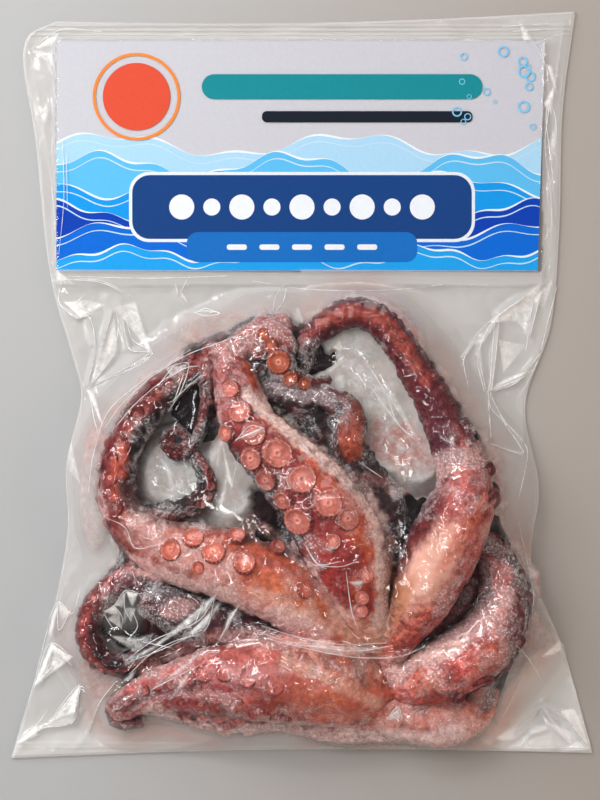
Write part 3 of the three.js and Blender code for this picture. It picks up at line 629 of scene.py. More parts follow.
def model_sucker():
    """One cup of unit radius, drawn up ring by ring from a circle."""
    first_radius, first_height = CUP_RINGS[0]
    bpy.ops.mesh.primitive_circle_add(vertices=CUP_SIDES, radius=first_radius, location=(0, 0, first_height))
    cup = bpy.context.object
    bpy.ops.object.transform_apply(location=True)
    bpy.ops.object.mode_set(mode="EDIT")
    bpy.ops.mesh.select_all(action="SELECT")
    for (radius, height), (wider, lower) in zip(CUP_RINGS[1:], CUP_RINGS):
        bpy.ops.mesh.extrude_edges_move(TRANSFORM_OT_translate={"value": (0, 0, height - lower)})
        bpy.ops.transform.resize(value=(radius / wider, radius / wider, 1))
    bpy.ops.mesh.edge_face_add()
    bpy.ops.object.mode_set(mode="OBJECT")
    return cup


def points_of(piece):
    """A piece's points in metres."""
    spots = np.empty(len(piece.data.vertices) * 3)
    piece.data.vertices.foreach_get("co", spots)
    return spots.reshape(-1, 3)


def ordered_faces(piece):
    """A piece's faces, each from its first point on, in an order that never changes."""
    faces = [list(face.vertices) for face in piece.data.polygons]
    starts = [face.index(min(face)) for face in faces]
    return sorted(face[start:] + face[:start] for face, start in zip(faces, starts))


sucker_model = model_sucker()
cup_points = points_of(sucker_model)
cup_faces = ordered_faces(sucker_model)
bpy.data.objects.remove(sucker_model)
cup_radius = np.hypot(cup_points[:, 0], cup_points[:, 1])
cup_angle = np.arctan2(cup_points[:, 1], cup_points[:, 0])
fluted = np.cos(cup_angle * CUP_FLUTES) * smooth_step(cup_radius, 0.5, 0.85)


def cup_colours(tint, draw):
    """Pale middle ring, painted light and shade that follow the raised rim, the dish and the flutes, and dark
    dashes round the edge that are partly the cup's own colour and partly painted shade in its crease.
    """
    # Painted light on the middle and the raised rim, painted shade in the dish and along the flutes
    painted_relief_light = 1.3 - 0.5 * smooth_step(cup_radius, 0.3, 0.8) + 0.4 * smooth_step(cup_radius, 0.82, 0.92)
    colour = linear(tint) * painted_relief_light[:, None] * (1 + 0.13 * fluted)[:, None]
    ring = np.exp(-((cup_radius - 0.2) / 0.07) ** 2)[:, None] * 0.7
    colour = blend(colour, CUP_RING_COLOUR, ring)
    # Dark dashes round the edge, partly the cup's own colour and partly painted shade, darkest on the skirt
    # where the cup meets the skin
    edge = smooth_step(cup_radius, 0.92, 0.99) * (0.75 + 0.25 * np.cos(cup_angle * CUP_FLUTES + np.pi))
    dark = blend(linear(CUP_EDGE_AND_SHADE_COLOUR), CUP_SKIRT_SHADE_COLOUR, smooth_step(cup_radius, 1.0, 1.06)[:, None])
    colour = colour * (1 - edge[:, None]) + dark * edge[:, None]
    return colour * draw.uniform(0.82, 1.12)


def hidden_depth(spots, lean, skin):
    """How far a cup must rise so that no skin shows through its dish."""
    depth = 0
    for spot in spots[cup_radius < 0.9][::2]:
        above = skin.ray_cast(Vector(spot + lean * 4), Vector(-lean), 4)[3]
        if above is not None:
            depth = max(depth, 4 - above)
    return min(depth, 1.5)


def place_sucker(base, outward, along, radius, tint, unrest, skin, seed):
    """A cup lying on the skin, each one a little bent, squeezed and tilted."""
    draw = np.random.default_rng(seed)
    shape = cup_points.copy()
    shape[:, 2] += 0.022 * fluted + 0.03
    wave = np.cos(cup_angle * draw.integers(2, 4) + draw.uniform(0, 6)) * (cup_radius > 0.6)
    shape[:, 2] += wave * 0.05 * unrest
    shape[:, 0] *= 1 + draw.uniform(-0.1, 0.06) * unrest
    lean = outward + 0.09 * unrest * draw.normal(size=3)
    lean /= np.linalg.norm(lean)
    first = along - lean * (along @ lean)
    first /= np.linalg.norm(first)
    axes = np.stack([first, np.cross(lean, first), lean])
    spots = base + (shape * radius) @ axes
    if skin:
        spots += lean * hidden_depth(spots, lean, skin)
    return spots, cup_colours(tint, draw)


def measured_suckers(name, places, tint):
    """Where each measured sucker sits: it lies flat where the arm is steep, so that its face shows."""
    limb = limbs[name]
    arm = bpy.data.objects[name]
    skin = BVHTree.FromPolygons((points_of(arm) / MM).tolist(), [list(p.vertices) for p in arm.data.polygons])
    made = []
    for x, y, diameter in places:
        near = int(np.argmin(np.hypot(limb["middle"][:, 0] - x, limb["middle"][:, 1] - y)))
        aside = (np.array([x, y]) - limb["middle"][near, :2]) @ limb["lateral"][near, :2]
        angle = math.asin(max(-0.85, min(0.85, aside / limb["width"][near])))
        offset = skin_offset(limb, np.array([near]), np.array([angle]))[0]
        radius = diameter / 2 * FACE_SUCKER_GROWTH
        steep = 1 - offset[2] / np.linalg.norm(offset)
        base = limb["middle"][near] + offset * (1 + 0.2 * steep) + [0, 0, 0.4 * radius * steep]
        faces_up = offset / np.linalg.norm(offset) + [0, 0, 1.4 * steep]
        made.append((base, faces_up, limb["along"][near], radius, tint, 1.0, skin))
    return made


def rowed_suckers(limb, start, end, size, off, tint):
    """Two staggered rows that follow an arm and grow smaller with it."""
    made = []
    count = len(limb["middle"])
    at, side = start * count, 1
    draw = np.random.default_rng(count)
    while at < end * count:
        row = int(at)
        radius = min(max(limb["width"][row] * size * draw.uniform(0.8, 1.15), 0.9), LARGEST_IN_ROW)
        angle = side * off + draw.uniform(-0.08, 0.08)
        offset = skin_offset(limb, np.array([row]), np.array([angle]))[0]
        sunk = limb["middle"][row] + offset * (1 - 0.02 * draw.uniform(0, 2))
        made.append((sunk, offset, limb["along"][row], radius, tint, 2.2, None))
        at += radius * 1.05 / ARM_STEP
        side = -side
    return made


def build_suckers(name, places, seed):
    """One piece of all the suckers in a row."""
    points, colours, faces = [], [], []
    for i, (base, offset, *rest) in enumerate(places):
        outward = offset / np.linalg.norm(offset)
        spot, colour = place_sucker(base, outward, *rest, seed * 100 + i)
        faces += [[v + len(cup_points) * i for v in face] for face in cup_faces]
        points.append(spot)
        colours.append(colour)
    piece = mesh_piece(name, np.vstack(points), faces)
    colours = np.vstack(colours)
    frost = 0.15 + 0.45 * (grain(np.vstack(points), 18, seed + 50) > 0.25) * (seed > 2)
    # The rows along the dark arms lie in the bands too
    if seed > 2:
        colours, added = lay_bands(np.vstack(points), colours, 0.6)
        frost = frost + added
    paint(piece, colours, frost, SUCKER_CALM)
    piece.data.materials.append(cooked_skin)
    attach(piece, "root")
    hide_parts("sealed_bag")
    return piece


sucker_places = {"front_arm": measured_suckers("front_arm", FRONT_SUCKERS, CORAL)}
sucker_places["left_arm_face"] = measured_suckers("left_arm", LEFT_SUCKERS, (210, 122, 102))
sucker_places["small_arm"] = measured_suckers("small_arm", SMALL_SUCKERS, (184, 98, 66))
for name, row in SUCKER_ROWS.items():
    sucker_places[name] = rowed_suckers(limbs[name], *row)
suckers = [build_suckers(name + "_suckers", places, seed)
           for seed, (name, places) in enumerate(sucker_places.items())]

# The dark skin between the arms. The web that joins the arms at their roots lies folded under and
# between them, purple-black and furred with frost. It is one closed skin, flat underneath.

# Ovals as [x, y, half width, half length, height of the top] in mm: clear ice, thin pink ice, web that
# is lifted there, and lifted web that lies free of ice
ICE_POOLS = [[24, 2, 20, 25, 8.5], [37, -17, 14, 17, 9], [46, -29, 9, 9, 9.5], [-50, -35, 12, 13, 8],
             [-28, -37, 9, 15, 8.5]]
PINK_WASHES = [[-30, 22, 22, 6, 2.2], [-82, -41, 6, 22, 2.5], [-80, -112, 8, 12, 2.2]]
WEB_FILLS = [[-71, -91, 11, 12, 3], [34.5, -76, 3, 10, 14], [-38, -6, 10, 16, 6], [66, -80, 3.5, 7, 12],
             [57, -91, 7, 4, 11.5]]
BARE_FILLS = [[5, 10, 8, 6, 6.5], [0, -24, 9, 12, 6], [-10, -50, 9, 14, 4.5]]
BED_STEP = 1.0
BED_FOOT = 1.2
WEB_REACH = 5.0
WEB_RISE = 15.0
WEB_GRAIN = 11
WEB_SINK = 1.5
WEB_START = 1.02
WEB_LIMIT = 0.7
WEB_DARK = (12, 8, 11)
WEB_LIGHT = (58, 22, 33)
BED_FALL = 0.9

main_limbs = [limbs[name] for name in limbs if name not in ("coil", "ring_arm", "front_tip", "bottom_tip")]


def arm_distance(x, y, limb):
    """Distance in plan from an arm's flank, and the height of its middle there."""
    middle, width = limb["middle"][::4], limb["width"][::4]
    gaps = np.hypot(x[..., None] - middle[:, 0], y[..., None] - middle[:, 1]) - width
    near = np.argmin(gaps, axis=-1)
    return np.maximum(0, np.min(gaps, axis=-1)), middle[near, 2]


def bed_piece(name, x, y, z):
    """A height field cut off flat and closed underneath."""
    bpy.ops.mesh.primitive_grid_add(x_subdivisions=x.shape[1] - 1, y_subdivisions=x.shape[0] - 1)
    bed = bpy.context.object
    bed.name = name
    bed.data.vertices.foreach_set("co", (np.stack([x.ravel(), y.ravel(), z.ravel()], 1) * MM).ravel())
    bpy.ops.object.mode_set(mode="EDIT")
    bpy.ops.mesh.select_all(action="SELECT")
    bpy.ops.mesh.bisect(plane_co=(0, 0, BED_FOOT * MM), plane_no=(0, 0, 1), use_fill=True, clear_inner=True)
    bpy.ops.mesh.select_all(action="SELECT")
    bpy.ops.mesh.normals_make_consistent(inside=False)
    bpy.ops.object.mode_set(mode="OBJECT")
    bed.data.polygons.foreach_set("use_smooth", [True] * len(bed.data.polygons))
    return bed


def beyond_oval(x, y, half_width, half_length):
    """Distance in mm of the bed's points past the edge of an oval."""
    away = np.hypot((bed_x - x) / half_width, (bed_y - y) / half_length)
    return np.maximum(0, away - 1) * min(half_width, half_length)


def pool_depth(x, y, margin):
    """Distance in mm inside the nearest pool of clear ice."""
    inside = [(1 - np.hypot((x - px) / (rx + margin), (y - py) / (ry + margin))) * min(rx, ry)
              for px, py, rx, ry, _ in ICE_POOLS]
    return np.max(inside, axis=0)


bed_x, bed_y = np.meshgrid(np.arange(-100, 100, BED_STEP), np.arange(-145, 44, BED_STEP))
bed_flat = np.stack([bed_x.ravel(), bed_y.ravel(), 0 * bed_x.ravel()], 1)
crinkle = grain(bed_flat, 9, 31).reshape(bed_x.shape)
creases = np.abs(grain(bed_flat, 5, 33)).reshape(bed_x.shape)
arm_fields = [arm_distance(bed_x, bed_y, limb) for limb in main_limbs]
nearness = sum(np.exp(-gap / WEB_REACH) for gap, _ in arm_fields)
# The web rises where several arms are near, and sinks under the ice and towards the header
web_z = BED_FOOT - WEB_SINK + WEB_RISE * np.clip(nearness - WEB_START, 0, WEB_LIMIT)
web_z = web_z + crinkle - 1.4 * creases
web_z -= 1.5 * np.maximum(0, pool_depth(bed_x, bed_y, 3)) + 7 * smooth_step(bed_y, 14, 24)
for *oval, top in WEB_FILLS + BARE_FILLS:
    web_z = np.maximum(web_z, top - BED_FALL * beyond_oval(*oval) + 1.6 * crinkle - 1.6 * creases)
web = bed_piece("web_skin", bed_x, bed_y, web_z)
web_points = points_of(web) / MM
web_tone = smooth_step(grain(web_points, WEB_GRAIN, 35), -0.4, 0.7)[:, None]
web_colours = blend(linear(WEB_DARK), WEB_LIGHT, web_tone)
web_colours, web_rime = lay_bands(web_points, web_colours)
paint(web, web_colours, 0.9 * grain(web_points, WEB_GRAIN, 36) + web_rime - 0.1)
web.data.materials.append(cooked_skin)
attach(web, "root")
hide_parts("sealed_bag")

# The frozen juice. Cloudy ice that holds the tangle together: pale grey where it is thick inside
# the curled arms, and a thin pink-stained rim round the outside.

JUICE_SHARE = 0.28
JUICE_SLOPE = 0.42
JUICE_HOLE = 9
CLEAR_ICE = (214, 204, 197)
PINK_ICE = (212, 158, 149)

juice_z = np.max([JUICE_SHARE * middle - JUICE_SLOPE * gap for gap, middle in arm_fields], axis=0)
juice_z = juice_z - 0.6 + 1.6 * crinkle
for *oval, top in ICE_POOLS + PINK_WASHES:
    juice_z = np.maximum(juice_z, top - BED_FALL * beyond_oval(*oval) + 0.45 * crinkle)
for px, py, rx, ry, _ in BARE_FILLS:
    ragged = np.hypot((bed_x - px) / rx, (bed_y - py) / ry) + 0.3 * crinkle + 0.5 * creases
    juice_z -= JUICE_HOLE * (1 - smooth_step(ragged, 0.75, 1.35))
juice = bed_piece("frozen_juice", bed_x, bed_y, juice_z)


def ice_material():
    """Cloudy ice with fine white streaks, pinker away from the pools."""
    material, make, ice = new_material("frozen_juice")
    place = make("TexCoord", out="Object")
    stain, rime, thick = [
        make("Attribute", attribute_name=kept, out="Fac") for kept in ("stain", "rime", "thick")]
    cloud = make("TexNoise", place, Scale=140, Detail=6, Roughness=0.62)
    streak = make("TexNoise", place, Scale=300, Detail=7, Roughness=0.72, Distortion=0.3)
    body = make("Mix", data_type="RGBA", Factor=stain, A=opaque(CLEAR_ICE), B=opaque(PINK_ICE))
    tone = make("MapRange", cloud, 0.3, 0.7, 0.8, 1.15)
    toned = make("VectorMath", body, operation="SCALE", Scale=tone)
    white = make("MapRange", streak, 0.42, 0.7, 0, 0.85)
    cover = make("Math", white, rime, operation="MULTIPLY")
    frosted = make("Mix", data_type="RGBA", Factor=cover, A=toned, B=(0.92, 0.91, 0.9, 1))
    set_shader(ice, Base_Color=frosted, Alpha=thick, Roughness=0.3,
               Normal=make("Bump", Strength=0.6, Distance=0.0008, Height=cloud),
               Subsurface_Weight=0.3, Subsurface_Scale=0.004)
    return material


juice_points = points_of(juice) / MM
in_pool = smooth_step(pool_depth(juice_points[:, 0], juice_points[:, 1], 5), 0, 2)
stain_share = np.clip((1 - in_pool) * (0.7 + 0.6 * grain(juice_points, 20, 44)), 0, 1)
stain_share = np.maximum(stain_share, field_share(juice_points, 39, -24, 17, 9, -25))
thick_share = smooth_step(juice_points[:, 2], BED_FOOT - 0.2, 3.4) * 0.9
# Smooth ice in the middle of the two large hollows, frosted ice round it
smooth_side = field_share(juice_points, 39, 2, 26, 7.5, -62) + field_share(juice_points, -28, -33, 8, 13, 0)
write_values(juice, stain=stain_share, thick=thick_share, rime=1 - 0.85 * np.minimum(smooth_side, 1))
juice.data.materials.append(ice_material())
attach(juice, "root")
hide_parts("sealed_bag")

# The header card. A sheet of coated card slipped into the top of the bag behind the film, printed
# in white and blues: waves below, a dark rounded banner over them and plain shapes above. The inks
# lie on the card as thin flat layers.

CARD_LEFT = -98
CARD_RIGHT = 94
CARD_SPREAD = 3
CARD_FOOT = 45.5
CARD_HEAD = 137.5
CARD_TOP = 2.4
INK_STEP = 0.03
# Resting height of each wave, its two swells (height and length, then height and length), its
# start, and its colour
WAVES = [
    (96, 4.0, 96, 1.6, 31, 0.4, (176, 218, 244)), (88, 4.5, 74, 1.4, 23, 2.1, (96, 192, 242)),
    (80, 4.0, 88, 1.6, 29, 3.9, (14, 156, 236)), (70, 3.6, 64, 1.2, 21, 5.2, (0, 64, 180)),
    (61, 3.4, 82, 1.2, 27, 0.9, (0, 108, 216)), (53, 2.6, 58, 1.0, 19, 2.8, (28, 164, 238))]
FOAM = 0.9
NAVY = (18, 66, 132)
MID_BLUE = (20, 112, 196)
TEAL = (20, 142, 152)
CORAL_INK = (226, 84, 58)
DARK_INK = (24, 30, 44)
ORANGE_INK = (244, 140, 60)
WHITE_INK = (240, 244, 250)
FOAM_INK = (240, 246, 252)
SWELL_INK = (200, 228, 250)
EDGE_INK = (236, 242, 250)
BUBBLE_INK = (128, 204, 244)
CARD_WHITE = (206, 205, 212)
WAVE_POINTS = 161


def print_material(name, colour):
    """Printed ink on coated card, with a faint grain."""
    material, make, ink = new_material(name)
    fleck = make("TexNoise", make("TexCoord", out="Object"), Scale=900, Detail=2)
    low, high = linear(colour) * 0.92, np.minimum(linear(colour) * 1.06, 1)
    tone = make("Mix", data_type="RGBA", Factor=fleck, A=(*low, 1), B=(*high, 1))
    set_shader(ink, Base_Color=tone, Roughness=0.6, Specular_IOR_Level=0.2)
    return material


card_white = print_material("card_white", CARD_WHITE)
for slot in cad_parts["header_card"].material_slots:
    slot.material = card_white

inks = {}
ink_layers = []


def lay_ink(piece, colour):
    """Gives a flat shape its ink and the next place in the stack of layers."""
    if colour not in inks:
        inks[colour] = print_material("ink_%d_%d_%d" % colour, colour)
    piece.data.materials.append(inks[colour])
    spots = points_of(piece)
    spots[:, 2] = (CARD_TOP + 0.02 + INK_STEP * len(ink_layers) / 4) * MM
    piece.data.vertices.foreach_set("co", spots.ravel())
    ink_layers.append(piece)


def wave_line(x, wave):
    """Height of a wave's crest across the card."""
    rest, first, length, second, ripple, start, _ = wave
    swell = first * np.sin(x * 2 * np.pi / length + start)
    return rest + swell + second * np.sin(x * 2 * np.pi / ripple + 2.3 * start)


def wave_band(name, lower, upper, colour):
    """A flat band between two lines across the card."""
    x_low = np.linspace(CARD_LEFT, CARD_RIGHT, len(lower))
    lean = CARD_SPREAD / (CARD_HEAD - CARD_FOOT)
    stretch = np.linspace(0, 1, len(lower))
    points = [(x + s * lean * (y - CARD_FOOT), y, 0) for x, y, s in zip(x_low, lower, stretch)]
    points += [(x + s * lean * (y - CARD_FOOT), y, 0) for x, y, s in zip(x_low, upper, stretch)]
    last = len(lower)
    faces = [[i, i + 1, last + i + 1, last + i] for i in range(last - 1)]
    lay_ink(mesh_piece(name, points, faces, smooth=False), colour)


def rounded_bar(x, y, width, height, corner, colour):
    """A flat bar with round corners, from a plane with its corners bevelled."""
    bpy.ops.mesh.primitive_plane_add(size=1, location=(x * MM, y * MM, 0))
    bar = bpy.context.object
    bar.scale = (width * MM, height * MM, 1)
    bpy.ops.object.transform_apply(location=True, scale=True)
    bpy.ops.object.mode_set(mode="EDIT")
    bpy.ops.mesh.select_all(action="SELECT")
    bpy.ops.mesh.bevel(offset=corner * MM, segments=8, affect="VERTICES")
    bpy.ops.object.mode_set(mode="OBJECT")
    lay_ink(bar, colour)


def disc(x, y, radius, colour, hole=0):
    """A flat disc, or a ring where it has a hole."""
    bpy.ops.mesh.primitive_circle_add(
        vertices=48, radius=radius * MM, fill_type="NGON", location=(x * MM, y * MM, 0))
    spot = bpy.context.object
    bpy.ops.object.transform_apply(location=True)
    if hole:
        bpy.ops.object.mode_set(mode="EDIT")
        bpy.ops.mesh.select_all(action="SELECT")
        bpy.ops.mesh.inset(thickness=(radius - hole) * MM)
        bpy.ops.mesh.delete(type="FACE")
        bpy.ops.object.mode_set(mode="OBJECT")
    lay_ink(spot, colour)


across = np.linspace(CARD_LEFT, CARD_RIGHT, WAVE_POINTS)
floor_line = np.full(WAVE_POINTS, CARD_FOOT + 0.2)
for n, wave in enumerate(WAVES):
    crest = np.maximum(wave_line(across, wave), floor_line + 0.3)
    wave_band("wave_%d" % n, floor_line, crest, wave[-1])
    foam = FOAM * (0.55 + 0.45 * np.sin(across / 5.5 + 2 * n))
    wave_band("foam_%d" % n, crest - foam, crest, FOAM_INK)
    wave_band("swell_%d" % n, crest - 3.4, crest - 3.1 + foam * 0.3, SWELL_INK)
rounded_bar(0, 71, 138, 28, 8, EDGE_INK)
rounded_bar(0, 71, 135.5, 25.5, 7, NAVY)
rounded_bar(0, 55, 92, 12, 4.5, MID_BLUE)
for n in range(9):
    disc(-48 + 12 * n, 71, 3.4 if n % 2 else 5, WHITE_INK)
for n in range(5):
    rounded_bar(-26 + 13 * n, 55, 8, 2.2, 1, WHITE_INK)
disc(-66, 115, 13.5, CORAL_INK)
disc(-66, 115, 17.5, ORANGE_INK, 16.3)
rounded_bar(16, 119, 112, 10, 5, TEAL)
rounded_bar(26, 107, 84, 4.5, 2, DARK_INK)
bubble_draw = np.random.default_rng(12)
for n in range(16):
    size = bubble_draw.uniform(0.8, 2.6)
    disc(76 + 18 * bubble_draw.uniform(-1, 1) - 0.1 * n, 103 + 2 * n, size, BUBBLE_INK, size * 0.7)

bpy.ops.object.select_all(action="DESELECT")
for piece in ink_layers:
    piece.select_set(True)
bpy.context.view_layer.objects.active = ink_layers[0]
bpy.ops.object.join()
card_print = bpy.context.object
card_print.name = "card_print"
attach(card_print, "root")

# The film. Two sheets of thin clear polythene sealed together round the edge. The upper one clings
# to the arms where it is frozen on, and is lifted in sharp creases where it bridges to the seals.
# It is worked out as a sheet pressed down over the arms, with flat facets between its creases.

LEFT_EDGE = [[-98.5, 145], [-110, 138], [-106, 96], [-100, 42], [-91, 10], [-88, -4], [-94, -32],
             [-93.5, -58], [-102, -102], [-116, -149]]
RIGHT_EDGE = [[109, 149], [104, 110], [102.5, 60], [99, 23], [89, -8], [94.5, -41], [91.5, -72],
              [104.5, -106], [112, -132], [116, -147]]
END_BOW = 2.5
END_BOW_SHARE = 0.1
SEAL_SHARE = 0.045
HEADER_SHARE = 0.352
FILM_COLUMNS = 330
FILM_LIFT = 0.35
FILM_FLOOR = 0.6
EDGE_HEIGHT = 0.75
EDGE_SLOPE = 1.6
HEADER_FOOT = 36
HEADER_FULL = 43
HEADER_TOP = 2.9
MARGIN_TOP = 1.4
FILM_FALL = 0.85
SAG = 0.012
SEAL_LINES = (139.8, 141.6, 143.4)
FOOT_LINES = (-144.6, -143.2)
SEAL_RIDGE = 0.35
SEAL_RIDGE_WIDTH = 0.38
DRAPE_PASSES = 60
SAG_PASSES = 140
BACK_HEIGHT = 0.25
MARGIN_HEIGHT = 2.5
MARGIN_PASSES = 400
MARGIN_HAZE_AND_SHEEN = 0.76

# Creases that stand up from the film: reach to each side, then points [x, y, height] in mm
MARGIN_CREASES = [
    (3.0, [[-100, 41.5, 0.3], [-80, 41.5, 0.7], [-67, 34.5, 0.2]]),
    (3.0, [[-98, 33, 0.3], [-89.5, 26.5, 0.9], [-85.5, 27.5, 0.6], [-82.5, 15.5, 0.9], [-85.5, 0, 1.2]]),
    (3.0, [[-76, 28.5, 1], [-80, 14, 1.3], [-84, 1, 0.8]]),
    (3.0, [[-71.5, 25.5, 0.5], [-68.5, 14, 1.1], [-60.5, 13, 0.9], [-72.5, 5.5, 0.6], [-82, 0.5, 0.5]]),
    (2.5, [[-84, -3.5, 0.8], [-80, -15, 0.5]]),
    (3.0, [[-44, 14, 0.4], [-65, 0, 0.8], [-77, -11, 0.9], [-82.5, -27.5, 0.9], [-84.5, -42.5, 0.4]]),
    (2.0, [[-50.5, 40.5, 0.2], [-49.5, 36, 0.6]]),
    (1.5, [[-43, 28.5, 0.1], [-38.5, 30.5, 0.4], [-33, 28.5, 0.1]]),
    (3.5, [[96, 40, 0.8], [87, 34, 1.4], [78.5, 27.5, 1], [71, 15, 0.9], [73, -1.5, 0.3]]),
    (2.5, [[78.5, 24.5, 0.8], [77, 9, 1.2], [75.5, -2, 0.9]]),
    (2.5, [[68.5, 16.5, 0.5], [64.5, 10.5, 0.8], [66, -1, 0.3]]),
    (3.0, [[95.5, 37, 0.7], [91, 20, 0.9]]),
    (2.5, [[76.5, -2.5, 0.8], [85.5, 1, 1], [95, 12.5, 0.6]]),
    (3.0, [[75.5, -5, 0.8], [80, -13.5, 0.8], [89.5, -25, 0.9], [89.5, -29.5, 0.8], [85.5, -44, 0.6]]),
    (2.5, [[76.5, -24, 0.7], [87.5, -28, 0.8]]),
    (2.5, [[74, -6, 0.5], [74.5, -21, 0.5]]),
    (2.5, [[-97.5, -87, 0.9], [-96.5, -97.5, 1.2], [-91.5, -89, 0.8]]),
    (3.0, [[-91.5, -111.5, 0.9], [-99.5, -105, 1.3], [-102.5, -113, 1.2], [-107.5, -121.5, 0.6]]),
    (3.0, [[-88.5, -121, 1], [-91.5, -134.5, 1.4], [-103.5, -137, 0.8], [-112.5, -143, 0.5]]),
    (3.0, [[-73.5, -117, 0.8], [-80.5, -126.5, 0.9], [-85.5, -139.5, 0.5]]),
    (3.0, [[87, -115, 0.6], [83, -124.5, 0.9], [79.5, -131.5, 0.5]]),
    (4.0, [[96, -127, 1.2], [106, -133.5, 1.6], [113.5, -142.5, 1.2]]),
    (2.0, [[96, -129, 1], [102, -137, 1.1], [106, -141, 0.6]]),
    (3.0, [[95.5, -107.5, 0.4], [103.5, -103, 1.2], [105.5, -108, 0.6]]),
    (2.5, [[78, -141.5, 0.6], [85, -141, 0.9], [90, -134.5, 1.1], [94, -129.5, 0.8]]),
    (2.0, [[87.5, -145, 0.4], [91.5, -139.5, 0.8], [97.5, -137.5, 0.9]]),
]
ARM_CREASES = [
    (2.5, [[-78, -52, 0.4], [-69.5, -56, 0.7], [-65.5, -64, 0.8], [-53.5, -61.5, 0.4]]),
    (3.0, [[-34, -83, 0.8], [-38, -96, 1.6], [-48.5, -100, 1.6], [-59.5, -106, 1.4], [-68, -114, 0.8]]),
    (2.0, [[-24.5, -85.5, 0.8], [-32, -99, 1.4]]),
    (2.5, [[-15, -98.5, 0.8], [-4.5, -101, 1.6], [11, -104.5, 1.8], [24.5, -106.5, 1.8], [38.5, -106, 1.6],
           [48, -102, 0.8]]),
    (2.0, [[-26, -21.5, 0.3], [-15.5, -17, 0.5]]),
    (2.5, [[26.5, 0, 0.4], [38.5, -16, 0.8], [45, -21.5, 0.4]]),
    (2.0, [[17, -72.5, 0.3], [19.5, -89, 0.5], [22, -96, 0.3]]),
    (2.0, [[1, -61, 0.4], [6, -69.5, 0.7], [15, -68.5, 0.4]]),
    (2.0, [[-53.5, 2, 0.3], [-46, 6.5, 0.7], [-40, 7.5, 0.4]]),
    (2.0, [[-51.5, -7, 0.3], [-44, 0, 0.7], [-38.5, 4, 0.3]]),
    (2.0, [[-63.5, -101.5, 0.4], [-51.5, -103.5, 0.6]]),
    (2.0, [[-59.5, -120, 0.3], [-49.5, -114.5, 0.6], [-38, -108.5, 0.4]]),
    (2.0, [[-55.5, -29.5, 0.3], [-47, -40.5, 0.6]]),
    (2.0, [[-25, -28.5, 0.4], [-28, -42, 0.6]]),
    (2.0, [[22.5, -30.5, 0.4], [31.5, -36.5, 0.6]]),
]
